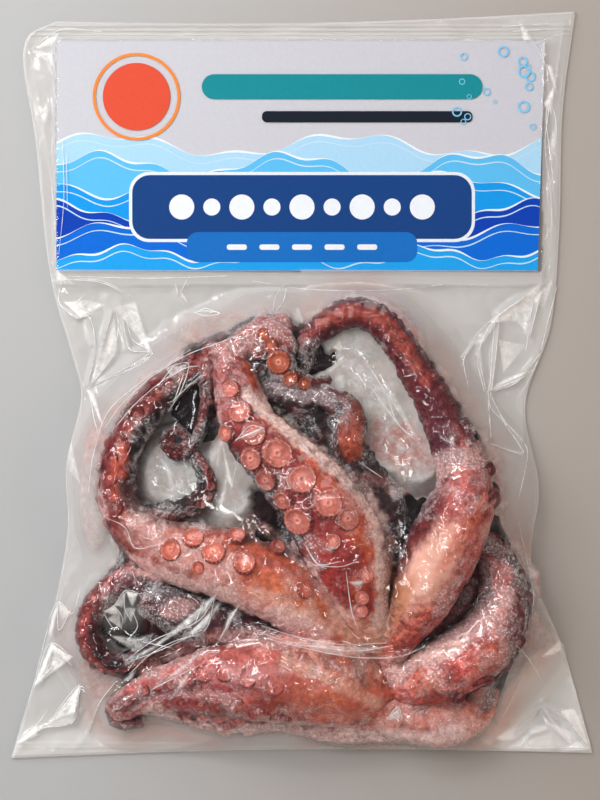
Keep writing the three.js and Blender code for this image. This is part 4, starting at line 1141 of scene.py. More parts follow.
# Fine folds with no height of their own, drawn only as beads of painted highlight, as points [x, y] in mm
FINE_FOLD_HIGHLIGHTS = [
    [[-78, -17], [-71.5, -8], [-59.5, 3], [-45, 12], [-31.5, 17], [-13.5, 24.5]],
    [[-75, -18.5], [-64, -6], [-49, 6]], [[-99.5, 42], [-79, 40.5], [-67, 33.5]],
    [[-43.5, 29], [-38, 29.5], [-32.5, 28.5], [-38, 27.5], [-43.5, 29]],
    [[-11.5, 29], [-10.5, 35], [-6.5, 40.5], [-7, 34.5], [-10, 29]], [[-49, 36], [-45, 43.5]],
    [[-85, -1], [-75.5, 12], [-73.5, 25.5], [-75, 31]],
    [[-85, -1], [-60, 12], [-62.5, 18.5], [-66.5, 33]], [[-73.5, 23.5], [-72, 17.5]],
    [[-70.5, 28], [-67.5, 18], [-60.5, 14]], [[-71.5, 31], [-63.5, 15.5]], [[-81.5, 13], [-75, 24.5]],
    [[-85, -2], [-79, -15.5]], [[-85, -2], [-82.5, -14], [-81, -18.5]],
    [[-96, 41], [-97, 33], [-88.5, 27], [-79, 32]], [[-92.5, 30.5], [-86.5, 36.5]],
    [[-90.5, 29], [-83, 35]], [[-97, -86.5], [-100.5, -94], [-107.5, -120.5], [-114, -141.5]],
    [[-107.5, -121], [-100, -103], [-91, -108]], [[-106.5, -120], [-93.5, -106]],
    [[-101.5, -134.5], [-88.5, -119.5], [-90.5, -130]], [[-100, -134], [-89.5, -121.5]],
    [[-96, -131], [-88.5, -125]], [[-102.5, -97], [-97, -86.5], [-91, -90.5], [-88, -81.5]],
    [[-114, -142.5], [-106.5, -136.5], [-101.5, -129.5]], [[-111.5, -142], [-104.5, -139.5]],
    [[-69.5, -109], [-58, -100.5], [-40, -92], [-34, -82.5]],
    [[-68, -109.5], [-51.5, -102.5], [-39, -95.5]], [[-33, -101.5], [-29.5, -94.5], [-25.5, -87.5]],
    [[-38.5, -85], [-42, -94]], [[-18.5, -96], [-5, -100], [9, -102.5], [23, -104], [35.5, -102]],
    [[-16, -94], [-1, -98.5], [17, -101.5], [33, -101]],
    [[63.5, 7.5], [67.5, 17], [74, 24.5], [86, 33], [95, 39.5]],
    [[70.5, 15], [70, 9], [71, 4], [72.5, -2.5]], [[77, 25.5], [76, 14], [75, 1], [74, -2.5]],
    [[74, -2.5], [86, 2], [93.5, 6.5]], [[74, -2.5], [75, -9], [81.5, -15.5], [88, -21.5]],
    [[74, -23], [81, -25.5], [88, -27], [86.5, -24], [80.5, -15.5]],
    [[95.5, 12.5], [89.5, 0], [86, -5.5]], [[102, 39.5], [98.5, 26.5], [95.5, 14]],
    [[90.5, 21.5], [89.5, 14]], [[92.5, 33.5], [90.5, 25]],
    [[94.5, -107.5], [99.5, -104.5], [103, -102], [103.5, -106]], [[95.5, -107], [102, -103]],
    [[96.5, -107.5], [103, -104]], [[77.5, -140], [91, -132], [94, -126.5]],
    [[94, -127], [100, -132], [106.5, -138]], [[103.5, -130], [108.5, -129], [115, -145], [107.5, -138]],
    [[104.5, -131], [113, -144]], [[106, -129.5], [110, -136.5]], [[103.5, -145], [115.5, -145]],
    [[98, -133.5], [100.5, -142.5]], [[84.5, -136], [83, -142.5]], [[86.5, -134.5], [90.5, -144]],
    [[85.5, -54.5], [88.5, -65.5], [91, -77.5], [90.5, -93]], [[83, -101], [88.5, -107], [97.5, -121]],
    [[33, -132], [37.5, -126.5], [39.5, -131]], [[33.5, -131], [38, -127.5]],
    [[0.5, -61.5], [6.5, -70], [9.5, -71.5]], [[4.5, -70], [15, -70.5], [21, -68.5]],
    [[-26, -22], [-20, -16], [-14.5, -17]], [[-54, 6.5], [-45, 8.5], [-47.5, -2], [-52.5, -10.5]],
    [[-56, 0.5], [-50.5, 7.5]], [[-46.5, 4.5], [-50.5, -7]], [[-69, -101], [-65, -95.5], [-66.5, -90]],
    [[22.5, 13.5], [33, -3.5], [38, -15.5], [46.5, -23.5]], [[-108.5, 134], [-97, 141.5], [-80, 141]],
    [[-107, 131], [-99, 132.5]], [[-105.5, 128], [-100, 122], [-98, 112]],
    [[-108, 130], [-104.5, 110], [-101, 88], [-98.5, 62], [-98, 44]],
    [[-104, 116], [-101.5, 108], [-103, 102]], [[-95.5, 98], [-95, 74], [-97, 52]],
    [[-94, 92], [-93.5, 70]],
    [[87, 144.5], [91.5, 138], [97, 128], [98.5, 112], [97, 96], [99.5, 74], [98.5, 52], [95, 44]],
    [[104, 141], [101, 122], [97.5, 108], [99.5, 90], [101.5, 66]], [[96, 118], [101, 108], [101.5, 96]],
    [[94.5, 132], [98.5, 126]], [[93, 136], [102, 140]], [[100.5, 84], [98, 76], [100, 66], [97, 58]],
    [[80, 143], [105, 144.5]], [[84, 141], [105, 142.5]], [[-20, 41.5], [4, 38], [30, 37.5], [56, 40]],
    [[-96, 43.5], [-60, 42.5], [-30, 43.5]],
    [[-78, -89.5], [-74, -87], [-69.5, -81], [-64.5, -82], [-62.5, -85]],
    [[-74, -87], [-71, -92], [-71.5, -96.5]], [[-69.5, -81], [-70, -88], [-67.5, -93.5]],
    [[-78, -90], [-77, -92.5], [-74, -97.5]],
]
# Facets with painted glare, lamp reflections painted white on the film: how white, then the three corners
GLARE = [
    (1, [[-85, -1], [-75, 28], [-73.5, 13]]), (0.55, [[-66.5, 33], [-60, 12], [-75, 31]]),
    (0.9, [[-95, 33], [-88.5, 27], [-85, 34]]), (0.6, [[-88.5, 27], [-79, 32], [-85, 34]]),
    (0.9, [[-86, -2], [-79, -16], [-83, -2.5]]), (0.35, [[-93.5, -17], [-88, -39.5], [-93.5, -33.5]]),
    (1, [[-107.5, -121], [-100, -103], [-91, -108]]), (0.8, [[-107.5, -121], [-91, -108], [-100, -103]]),
    (1, [[-101.5, -135], [-88.5, -119.5], [-90.5, -130.5]]),
    (0.8, [[-88.5, -119.5], [-90.5, -130.5], [-101.5, -135]]),
    (0.7, [[-102.5, -97], [-97, -87], [-100, -101]]), (0.5, [[-97, -86.5], [-91, -90.5], [-96, -94]]),
    (0.8, [[-114, -143], [-106, -136], [-105.5, -140.5]]), (0.9, [[75, 25], [95, 39.5], [87, 25.5]]),
    (0.5, [[95, 39.5], [89, 22], [84, 27]]), (0.6, [[74, -2.5], [93.5, 6.5], [80.5, 2.5]]),
    (0.5, [[78.5, 18], [80.5, 5], [89.5, 16]]), (1, [[94.5, -107.5], [103, -102], [103.5, -106]]),
    (1, [[115, -145], [103.5, -130], [109, -129]]), (0.6, [[98, -134.5], [107, -138.5], [108, -144.5]]),
    (0.7, [[77.5, -140.5], [85, -136.5], [83, -142.5]]),
    (0.6, [[85.5, -143.5], [93.5, -141], [89.5, -145.5]]),
    (0.6, [[103.5, -146], [115.5, -145.5], [110, -142]]),
    (0.8, [[33, -132], [37.5, -126.5], [39.5, -131]]), (1, [[-69.5, -81], [-64.5, -82], [-67, -88]]),
    (0.8, [[-74, -87], [-69.5, -81], [-70, -88]]), (0.9, [[-78, -89.5], [-74, -87], [-71, -92]]),
    (0.7, [[-77, -92.5], [-71.5, -96.5], [-72, -89]]), (0.6, [[-67.5, -93.5], [-65.5, -88], [-70, -88]]),
    (0.45, [[-67, -88], [-70, -88], [-71.5, -96.5]]), (1, [[-62, -106], [-34, -82], [-39, -91]]),
    (1, [[-71, -111], [-40.5, -91], [-58, -104]]), (0.8, [[-46, -99], [-31, -84], [-37, -95]]),
    (0.9, [[-31, -100], [-25, -87], [-29, -90]]), (0.8, [[-31, -23.5], [-26.7, -41], [-29.5, -38]]),
    (0.6, [[-29, -32], [-33.4, -50], [-30, -45]]), (0.5, [[-56, -29], [-50, -44], [-52, -32]]),
    (0.5, [[33, -3.5], [46.5, -23.5], [36, -2]]), (0.6, [[-38.5, -87], [-35, -82.5], [-33, -84]]),
    (0.45, [[-1, -101], [34, -103], [17, -106]]), (0.5, [[-54, 6.5], [-45, 8.5], [-49, -1]]),
    (0.7, [[9, -63.5], [13, -62], [11.5, -65.5]]), (0.6, [[-72, -118], [-65.5, -112], [-67, -116.5]]),
    (0.6, [[-58, -119], [-40, -104.5], [-44, -110.5]]),
    (0.5, [[-52.5, -124.5], [-42, -108], [-45, -116]]), (0.6, [[-76, -99], [-60, -101], [-66, -106]]),
    (0.4, [[-72, -102], [-58, -98], [-63, -104]]), (0.9, [[12, 14.5], [15, 18], [16, 13]]),
    (0.8, [[13, 9], [17, 12.5], [16.5, 9.5]]), (0.6, [[22, 15], [27, 6], [23.5, 12]]),
    (0.8, [[-34, -36], [-31.5, -22], [-33, -27]]), (0.6, [[18, -76.5], [24.5, -75.5], [22, -79.5]]),
    (0.5, [[4.5, -70], [9.5, -71], [6, -72]]), (0.5, [[-26, -22], [-16, -16.5], [-13.5, -18]]),
    (0.9, [[-108.5, 134], [-97, 141], [-99.5, 136]]), (0.7, [[-108.5, 134], [-100, 132.5], [-99, 127]]),
    (1, [[87, 144.5], [91, 138], [88.5, 136.5]]), (0.9, [[97.5, 128], [101.5, 117], [100, 127]]),
    (0.9, [[96.5, 112], [100.5, 119], [99.5, 108]]), (0.5, [[98, 95], [101, 103], [101.5, 90]]),
    (0.5, [[-106, 112], [-103, 104], [-101, 110]]), (0.5, [[-98, 46], [-91, 40.5], [-98, 40]]),
    (0.5, [[92, 34], [100, 42], [97, 30]]),
]
FOLD_RADIUS = 0.15
FOLD_LIFT = 0.05
RIDGE_SHARE = 0.75
RIDGE_WIDTH = 0.7
# Fields of heights over the whole bag, in whole millimetres or at finer steps
FIELD_LEFT = -120
FIELD_FOOT = -150
FIELD_ROWS = 300
FIELD_COLUMNS = 240
FIELD_STEP = 0.5
FINE_SHAPE = (int(FIELD_ROWS / FIELD_STEP) + 1, int(FIELD_COLUMNS / FIELD_STEP) + 1)


def edge_line(edge, shares):
    """Places along one side of the bag, at shares of its length from the head."""
    path = smooth_path([[x, y, 0, 0, 0] for x, y in edge], 0.5)[:, :2]
    walked = np.append(0, np.cumsum(np.linalg.norm(np.diff(path, axis=0), axis=1)))
    marks = np.asarray(shares) * walked[-1]
    return np.stack([np.interp(marks, walked, path[:, 0]), np.interp(marks, walked, path[:, 1])], 1)


def bag_grid(shares, columns):
    """Places across the bag from its left edge to its right, at shares of the way down."""
    left, right = edge_line(LEFT_EDGE, shares), edge_line(RIGHT_EDGE, shares)
    across = np.linspace(0, 1, columns + 1)
    x = left[:, :1] + (right[:, :1] - left[:, :1]) * across
    y = left[:, 1:] + (right[:, 1:] - left[:, 1:]) * across
    inward = np.clip(1 - shares / END_BOW_SHARE, 0, 1) - np.clip(1 - (1 - shares) / END_BOW_SHARE, 0, 1)
    y -= END_BOW * inward[:, None] * np.sin(np.pi * across)
    return x, y


def height_map(pieces):
    """Highest point of the contents in each square millimetre and the squares beside it."""
    tops = np.zeros((FIELD_ROWS, FIELD_COLUMNS))
    for piece in pieces:
        spots = points_of(piece) / MM
        column = np.clip((spots[:, 0] - FIELD_LEFT).astype(int), 0, FIELD_COLUMNS - 1)
        row = np.clip((spots[:, 1] - FIELD_FOOT).astype(int), 0, FIELD_ROWS - 1)
        np.maximum.at(tops, (row, column), spots[:, 2])
    return np.maximum(tops, np.max(neighbours(tops), axis=0) - 0.4)


def neighbours(field):
    """A field shifted by one square each way."""
    return [np.roll(field, 1, 0), np.roll(field, -1, 0), np.roll(field, 1, 1), np.roll(field, -1, 1)]


def height_at(field, step, x, y):
    """Height of a field at places between its points."""
    column = np.clip((x - FIELD_LEFT) / step - (step == 1) * 0.5, 0, field.shape[1] - 1.001)
    row = np.clip((y - FIELD_FOOT) / step - (step == 1) * 0.5, 0, field.shape[0] - 1.001)
    c0, r0 = column.astype(int), row.astype(int)
    u, v = column - c0, row - r0
    near = field[r0, c0] * (1 - u) + field[r0, c0 + 1] * u
    far = field[r0 + 1, c0] * (1 - u) + field[r0 + 1, c0 + 1] * u
    return near * (1 - v) + far * v


def crumpled(spacing, lift, seed, creases=()):
    """Heights of creased film every half millimetre: flat facets between scattered points."""
    draw = np.random.default_rng(seed)
    spots, levels, links = [], [], []
    for reach, fold in creases:
        line = np.array(fold)
        ahead = np.gradient(line[:, :2], axis=0)
        ahead /= np.linalg.norm(ahead, axis=1)[:, None]
        aside = np.stack([-ahead[:, 1], ahead[:, 0]], 1) * reach
        links += [(len(spots) + i, len(spots) + i + 1) for i in range(len(line) - 1)]
        spots += line[:, :2].tolist() + (line[:, :2] + aside).tolist() + (line[:, :2] - aside).tolist()
        levels += line[:, 2].tolist() + [0] * (2 * len(line))
    taken = np.array(spots) if spots else np.full((1, 2), 999.0)
    for x in np.arange(FIELD_LEFT - 5, 126, spacing):
        for y in np.arange(FIELD_FOOT - 5, 156, spacing * 1.2):
            spot = np.array([x, y]) + draw.uniform(-0.45, 0.45, 2) * spacing
            level = draw.uniform(-lift, lift)
            if np.min(np.hypot(*(taken - spot).T)) > spacing * 0.6:
                spots.append(spot.tolist())
                levels.append(level)
    made, _, triangles, origin, _, _ = delaunay_2d_cdt([Vector(s) for s in spots], links, [], 0, 1e-4)
    height = [levels[o[0]] if o else 0 for o in origin]
    field = np.zeros(FINE_SHAPE)
    for triangle in triangles:
        corners = [(np.array(made[i]) - (FIELD_LEFT, FIELD_FOOT)) / FIELD_STEP for i in triangle[:3]]
        fill_triangle(field, *corners, [height[i] for i in triangle[:3]])
    return field


def ridge_lines(creases):
    """Heights of the sharp rounded edge that runs along each crease."""
    field = np.zeros(FINE_SHAPE)
    rows, columns = field.shape
    for _, fold in creases:
        line = (np.array(fold) - (FIELD_LEFT, FIELD_FOOT, 0)) / (FIELD_STEP, FIELD_STEP, 1)
        for a, b in zip(line, line[1:]):
            low = np.maximum(np.minimum(a, b)[:2].astype(int) - 8, 0)
            high = np.minimum(np.maximum(a, b)[:2].astype(int) + 9, (columns, rows))
            x, y = np.meshgrid(np.arange(low[0], high[0]), np.arange(low[1], high[1]))
            run = b[:2] - a[:2]
            share = np.clip(((x - a[0]) * run[0] + (y - a[1]) * run[1]) / (run @ run), 0, 1)
            gap = np.hypot(x - a[0] - share * run[0], y - a[1] - share * run[1]) * FIELD_STEP
            level = (a[2] + share * (b[2] - a[2])) * RIDGE_SHARE * np.exp(-(gap / RIDGE_WIDTH) ** 2)
            window = field[low[1]:high[1], low[0]:high[0]]
            np.maximum(window, level, out=window)
    return field


def fill_triangle(field, a, b, c, heights):
    """Writes a flat facet between three corners into a field."""
    low = np.maximum(np.floor(np.min([a, b, c], axis=0)).astype(int), 0)
    high = np.minimum(np.ceil(np.max([a, b, c], axis=0)).astype(int), np.array(field.shape)[::-1] - 1)
    if (high < low).any():
        return
    x, y = np.meshgrid(np.arange(low[0], high[0] + 1), np.arange(low[1], high[1] + 1))
    area = (b[0] - a[0]) * (c[1] - a[1]) - (c[0] - a[0]) * (b[1] - a[1])
    if abs(area) < 1e-9:
        return
    v = ((x - a[0]) * (c[1] - a[1]) - (c[0] - a[0]) * (y - a[1])) / area
    w = ((b[0] - a[0]) * (y - a[1]) - (x - a[0]) * (b[1] - a[1])) / area
    inside = (v >= -1e-6) & (w >= -1e-6) & (v + w <= 1 + 1e-6)
    value = heights[0] + v * (heights[1] - heights[0]) + w * (heights[2] - heights[0])
    window = field[low[1]:high[1] + 1, low[0]:high[0] + 1]
    window[inside] = value[inside]


contents = height_map(arms + suckers + [web, juice])
draped = contents.copy()
for _ in range(DRAPE_PASSES):
    draped = np.maximum(draped, np.max(neighbours(draped), axis=0) - FILM_FALL)
for _ in range(SAG_PASSES):
    draped = np.maximum(contents, np.mean(neighbours(draped), axis=0) - SAG)
broad = crumpled(12, 1.2, 1, MARGIN_CREASES)
middling = crumpled(6, 0.25, 2, ARM_CREASES)
narrow = crumpled(3.4, 0.2, 3)
ridges = ridge_lines(MARGIN_CREASES + ARM_CREASES)


def film_heights(x, y):
    """The upper sheet: over the contents, creased, flat at its seals and ridged along them."""
    from_side = np.minimum(x - x[:, :1], x[:, -1:] - x)
    from_foot = y - y[-1:, :] + (0 if y[-1, 0] < -140 else 50)
    from_head = (y[:1, :] - y) + (0 if y[0, 0] > 140 else 50)
    from_edge = np.minimum(np.minimum(from_side, from_foot), from_head)
    header = smooth_step(y, HEADER_FOOT, HEADER_FULL)
    over_card = header * smooth_step(x, CARD_LEFT - 2, CARD_LEFT + 1)
    over_card = over_card * (1 - smooth_step(x, CARD_RIGHT, CARD_RIGHT + 5))
    over_card = over_card * (1 - smooth_step(y, CARD_HEAD, CARD_HEAD + 2))
    base = MARGIN_TOP + over_card * (HEADER_TOP - MARGIN_TOP)
    arms_z = height_at(draped, 1, x, y)
    z = np.maximum(base, arms_z * (1 - header) + FILM_LIFT)
    on_arms = smooth_step(arms_z * (1 - header), 3, 9)
    folds = height_at(broad, FIELD_STEP, x, y) * (1 - on_arms) * (1 - 0.93 * over_card)
    folds += height_at(middling, FIELD_STEP, x, y) * (1 - 0.8 * over_card)
    folds += height_at(narrow, FIELD_STEP, x, y) * (1 - 0.8 * over_card)
    folds += height_at(ridges, FIELD_STEP, x, y)
    z = z + folds * smooth_step(from_edge, 0, 4)
    for line in SEAL_LINES + FOOT_LINES:
        z = z + SEAL_RIDGE * np.exp(-((y - line) / SEAL_RIDGE_WIDTH) ** 2)
    z = np.minimum(z, EDGE_HEIGHT + EDGE_SLOPE * from_edge)
    floor = np.maximum(FILM_FLOOR, np.where(over_card > 0.5, HEADER_TOP - 0.15, 0))
    return np.maximum(np.maximum(z, floor), (height_at(contents, 1, x, y) + 0.1) * (1 - header))


def film_sheet(name, shares, columns, heights, upward=True):
    """A sheet across the bag between two shares of the way down."""
    x, y = bag_grid(shares, columns)
    z = heights(x, y)
    cell = np.arange(x.size).reshape(x.shape)
    quads = np.stack([cell[:-1, :-1], cell[1:, :-1], cell[1:, 1:], cell[:-1, 1:]], -1).reshape(-1, 4)
    if not upward:
        quads = quads[:, ::-1]
    return mesh_piece(name, np.stack([x.ravel(), y.ravel(), z.ravel()], 1), quads.tolist())


def whitened(points, triangles):
    """Painted glare: lamp reflections painted white on the facets between creases, brightest beside each
    facet's first edge.
    """
    white = np.zeros(len(points))
    for strength, corners in triangles:
        a, b, c = np.array(corners)
        turn = math.copysign(1, (b[0] - a[0]) * (c[1] - a[1]) - (c[0] - a[0]) * (b[1] - a[1]))
        inside = np.full(len(points), 99.0)
        for start, end in ((a, b), (b, c), (c, a)):
            run = (end - start) / np.linalg.norm(end - start) * turn
            away = points[:, :2] - start
            inside = np.minimum(inside, away[:, 1] * run[0] - away[:, 0] * run[1])
        first = np.array([b[1] - a[1], a[0] - b[0]]) / np.linalg.norm(b - a)
        far = abs((c - a) @ first)
        fade = 1 - 0.75 * np.clip(np.abs((points[:, :2] - a) @ first) / far, 0, 1)
        white = np.maximum(white, strength * fade * smooth_step(inside, -0.3, 0.5))
    return white


def film_material(name, haze, gain, wrinkles, milky):
    """Clear film: see-through, with sharp reflections that grow edge on, and a little haze."""
    material, make, principled = new_material(name)
    nodes = material.node_tree.nodes
    nodes.remove(principled)
    place = make("TexCoord", out="Object")
    wrinkle = make("TexNoise", place, Scale=420, Detail=4, Roughness=0.65, Distortion=0.8)
    bump = make("Bump", Strength=wrinkles, Distance=0.0004, Height=wrinkle)
    steep = make("Math", make("LayerWeight", Blend=0.5, out="Facing"), 4, operation="POWER")
    share = make("Math", steep, 0.8, 0.045 * gain, operation="MULTIPLY_ADD", use_clamp=True)
    white, tint = haze, (0.95, 0.93, 0.91, 1)
    if milky:
        cloud, stain, glare = [
            make("Attribute", attribute_name=kept, out="Fac") for kept in ("cloud", "stain", "glare")]
        milkiness = make("Math", cloud, milky, haze, operation="MULTIPLY_ADD")
        tint = make("Mix", data_type="RGBA", Factor=stain, A=(0.95, 0.92, 0.89, 1), B=(0.9, 0.6, 0.53, 1))
        # Painted glare on the facets, white in streaks, over the milky haze
        streaks = make("TexNoise", place, Scale=170, Detail=5, Roughness=0.62, Distortion=3.0)
        streak = make("MapRange", streaks, 0.36, 0.64, 0.45, 1.1)
        white = make("Math", glare, streak, milkiness, operation="MULTIPLY_ADD", use_clamp=True)
    veil = make("MixShader", white, make("BsdfTransparent"), make("BsdfDiffuse", Color=tint))
    film = make("MixShader", share, veil, make("BsdfGlossy", Roughness=0.04, Normal=bump))
    set_socket(nodes["Material Output"].inputs["Surface"], film)
    return material


def flat_height(x, y):
    """The back sheet lies flat on the table."""
    return np.full(x.shape, BACK_HEIGHT)


clear_film = film_material("clear_film", 0.004, 1.7, 0.12, 0.32)
card_film = film_material("card_film", 0.0, 1.4, 0.18, 0.3)
cloudy_film = film_material("cloudy_film", 0.3, 1.0, 0.18, 0)
seal_rows = np.linspace(0, SEAL_SHARE, 38)[:-1]
header_rows = np.linspace(SEAL_SHARE, HEADER_SHARE, 101)
belly_rows = np.linspace(HEADER_SHARE, 1, 300)
header_film = film_sheet("header_film", np.append(seal_rows, header_rows), FILM_COLUMNS, film_heights)
belly_film = film_sheet("belly_film", belly_rows, FILM_COLUMNS, film_heights)
back_film = film_sheet("back_film", np.linspace(0, 1, 61), 46, flat_height, upward=False)


def spread(field, times, way):
    """A field mixed with the squares beside it, time after time."""
    for _ in range(times):
        field = way([field] + neighbours(field), axis=0)
    return field


# The open margin round the arms, where the film is milky, partly its own haze and partly painted sheen for
# the broad lamps' reflection, and the pink stain beside them
reached = np.zeros(contents.shape, bool)
reached[[0, -1]] = True
for _ in range(MARGIN_PASSES):
    reached = (contents < MARGIN_HEIGHT) & (reached | np.any(neighbours(reached), axis=0))
margin = spread(reached.astype(float), 2, np.max)
beside = spread(spread(1 - margin, 9, np.max), 40, np.mean)
margin = spread(margin, 5, np.mean)


def cloudiness(points):
    """How milky the film is, partly its own haze and partly painted sheen: most in the open margin and at the
    crumpled corner.
    """
    x, y, z = points.T
    open_share = height_at(margin, 1, x, y)
    over_card = (x > CARD_LEFT) & (x < CARD_RIGHT + 2) & (y > CARD_FOOT) & (y < CARD_HEAD)
    low = (1 - smooth_step(z, 3, 8)) * (0.35 + 0.65 * open_share)
    bridge = 0.3 * field_share(points, -71, -90, 9, 8, 0)
    corner = field_share(points, 98, -125, 34, 22, 45) + 0.65 * (1 - smooth_step(y, -142, -128))
    cloud = np.maximum(np.maximum(low, MARGIN_HAZE_AND_SHEEN * open_share ** 1.3), bridge)
    return (cloud + corner * open_share) * ~over_card


for piece in (header_film, belly_film):
    spots = points_of(piece) / MM
    glare = whitened(spots, GLARE)
    pink = height_at(beside, 1, spots[:, 0], spots[:, 1]) * (0.7 + 0.8 * grain(spots, 22, 71))
    pink = np.clip(pink, 0, 1) * height_at(margin, 1, spots[:, 0], spots[:, 1]) * (1 - glare)
    write_values(piece, cloud=cloudiness(spots), glare=glare, stain=pink)
header_film.data.materials.append(card_film)
belly_film.data.materials.append(clear_film)
back_film.data.materials.append(cloudy_film)

# The weld where the two sheets meet, a fine bead all round the bag, and the pinched folds, whose beads are
# partly a glossy ridge and partly painted highlight in white
WELD_RADIUS = 0.32
WELD_HEIGHT = 0.6
around = np.linspace(0, 1, 240)
foot_x, foot_y = bag_grid(np.array([0.0, 1.0]), 120)
left_line, right_line = edge_line(LEFT_EDGE, around), edge_line(RIGHT_EDGE, around)
outline = np.vstack([left_line, np.stack([foot_x[1], foot_y[1]], 1)[1:-1], right_line[::-1],
                     np.stack([foot_x[0], foot_y[0]], 1)[::-1][1:-1]])


def beaded(name, lines, radius, material, closed=False):
    """Round beads along lines of [x, y, z, share of the radius] in mm."""
    curve = bpy.data.curves.new(name, "CURVE")
    curve.dimensions = "3D"
    curve.bevel_depth = radius * MM
    curve.bevel_resolution = 1
    curve.use_fill_caps = True
    for line in lines:
        bead = curve.splines.new("POLY")
        bead.points.add(len(line) - 1)
        spots = np.column_stack([np.asarray(line)[:, :3] * MM, np.ones(len(line))])
        bead.points.foreach_set("co", spots.ravel())
        bead.points.foreach_set("radius", np.asarray(line)[:, 3])
        bead.use_cyclic_u = closed
    piece = bpy.data.objects.new(name, curve)
    bpy.context.collection.objects.link(piece)
    bpy.ops.object.select_all(action="DESELECT")
    piece.select_set(True)
    bpy.context.view_layer.objects.active = piece
    bpy.ops.object.convert(target="MESH")
    piece = bpy.context.object
    piece.data.materials.clear()
    piece.data.materials.append(material)
    return piece


weld_line = np.column_stack([outline, np.full(len(outline), WELD_HEIGHT), np.ones(len(outline))])
weld = beaded("film_weld", [weld_line], WELD_RADIUS, cloudy_film, closed=True)


def fold_material():
    """Film pinched double, glossy and still half clear, its white a painted highlight along the crease."""
    material, make, fold = new_material("folded_film_highlight")
    breaks = make("TexNoise", make("TexCoord", out="Object"), Scale=110, Detail=3, Roughness=0.6)
    shown = make("MapRange", breaks, 0.36, 0.6, 0.3, 0.95)
    set_shader(fold, Alpha=shown, Base_Color=(0.95, 0.95, 0.95, 1), Roughness=0.15)
    return material


film_spots = points_of(belly_film) / MM
film_tree = KDTree(len(film_spots))
for n, spot in enumerate(film_spots):
    film_tree.insert((spot[0], spot[1], 0), n)
film_tree.balance()
fold_highlight_lines = []
creased = [np.array(line)[:, :2] for _, line in MARGIN_CREASES + ARM_CREASES]
for fold in creased + [np.array(line) for line in FINE_FOLD_HIGHLIGHTS]:
    path = smooth_path([[x, y, 0, 0, 0] for x, y in fold], 0.8)[:, :2]
    level = [film_spots[film_tree.find((x, y, 0))[1], 2] + FOLD_LIFT for x, y in path]
    thin = 0.45 + 0.55 * np.sin(np.linspace(0.12, np.pi - 0.12, len(path)))
    fold_highlight_lines.append(np.column_stack([path, level, thin]))
folds = beaded("film_folds", fold_highlight_lines, FOLD_RADIUS, fold_material())

for piece in (header_film, belly_film, back_film, weld, folds):
    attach(piece, "root")
    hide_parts("sealed_bag")

# The surface and the light. A pale matt table, painted lighter on the left and darker and warmer on the right
# as the light falls off from the window, a large soft window from the upper left, and long narrow lamps
# overhead that catch the creases of the film.

TABLE_SIZE = 6
TABLE_LEFT_LIT = (173, 173, 173)
TABLE_RIGHT_SHADED = (167, 158, 151)
ROOM_COLOUR = (0.86, 0.88, 0.9, 1)
ROOM_LIGHT = 0.049

bpy.ops.object.select_all(action="DESELECT")
bpy.ops.mesh.primitive_plane_add(size=TABLE_SIZE, location=(0, 0, 0))
table = bpy.context.object
table.name = "table"
table_top, make, table_skin = new_material("table_top")
# Painted light falloff: the table's colour runs from lighter on the left to darker and warmer on the right
rightward = make("SeparateXYZ", make("TexCoord", out="Object"), out="X")
table_painted_falloff = make("Mix", data_type="RGBA", Factor=make("MapRange", rightward, -0.1, 0.115),
                  A=opaque(TABLE_LEFT_LIT), B=opaque(TABLE_RIGHT_SHADED))
set_shader(table_skin, Base_Color=table_painted_falloff, Roughness=0.75)
table.data.materials.append(table_top)


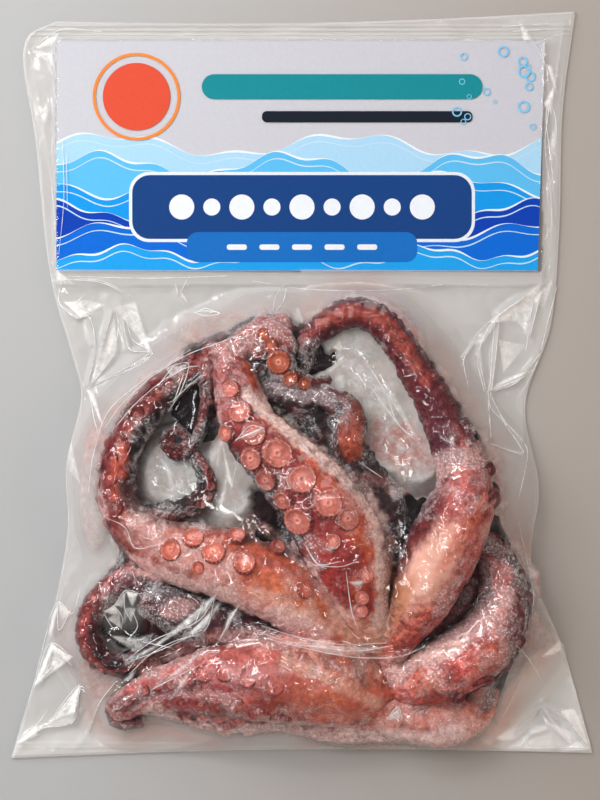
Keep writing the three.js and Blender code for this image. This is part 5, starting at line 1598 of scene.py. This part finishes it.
def lamp(name, bearing, tilt, distance, size, power, tint=(1, 1, 1), mirrored=True):
    """An area lamp aimed at the bag, by its bearing and its angle from overhead in degrees."""
    light = bpy.data.lights.new(name, "AREA")
    light.shape = "RECTANGLE"
    light.size, light.size_y = size
    light.energy = power
    light.color = tint
    holder = bpy.data.objects.new(name, light)
    turn, lean = math.radians(bearing), math.radians(tilt)
    holder.location = (distance * math.sin(lean) * math.cos(turn),
                       distance * math.sin(lean) * math.sin(turn), distance * math.cos(lean))
    holder.rotation_euler = (lean, 0, turn + math.pi / 2)
    holder.visible_glossy = mirrored
    bpy.context.collection.objects.link(holder)


lamp("window", 148, 58, 0.9, (0.9, 0.7), 10.2, (0.98, 0.99, 1), mirrored=False)
lamp("pane", 132, 50, 1.8, (0.3, 0.16), 2.8)
lamp("wall_right", 5, 70, 2.2, (1.2, 0.8), 15.2, (1, 0.82, 0.68), mirrored=False)
lamp("wall_foot", -80, 68, 2.2, (1.4, 0.8), 12, (1, 0.9, 0.81), mirrored=False)
lamp("wall_head", 75, 68, 2.2, (1.2, 0.8), 6.5)
STRIP_DISTANCE = 1.6
STRIP_WIDTH = 0.05
STRIP_POWER = 3.4
# The lamps overhead: bearing, tilt and length
STRIPS = [(170, 27, 0.3), (128, 31, 0.35), (84, 27, 0.3), (30, 31, 0.25), (-12, 27, 0.2), (-70, 27, 0.25),
          (-128, 31, 0.3), (105, 43, 0.4), (190, 41, 0.35), (150, 39, 0.3)]
for n, (bearing, tilt, length) in enumerate(STRIPS):
    lamp("strip_%d" % n, bearing, tilt, STRIP_DISTANCE, (length, STRIP_WIDTH), length * STRIP_POWER)

world = bpy.context.scene.world or bpy.data.worlds.new("room")
bpy.context.scene.world = world
world.use_nodes = True
world.node_tree.nodes["Background"].inputs["Color"].default_value = ROOM_COLOUR
world.node_tree.nodes["Background"].inputs["Strength"].default_value = ROOM_LIGHT
bpy.context.scene.view_settings.view_transform = "Standard"

# The camera. It looks straight down from one metre, so that a pixel is 0.4 mm at the table.

CAMERA_HEIGHT = 1.0
FRAME_HEIGHT = 0.320
FRAME_MIDDLE = (-0.0008, -0.006)
view = bpy.data.cameras.new("view")
view.sensor_fit = "VERTICAL"
view.angle_y = 2 * math.atan(FRAME_HEIGHT / 2 / CAMERA_HEIGHT)
view_holder = bpy.data.objects.new("view", view)
view_holder.location = (*FRAME_MIDDLE, CAMERA_HEIGHT)
bpy.context.collection.objects.link(view_holder)
bpy.context.scene.camera = view_holder
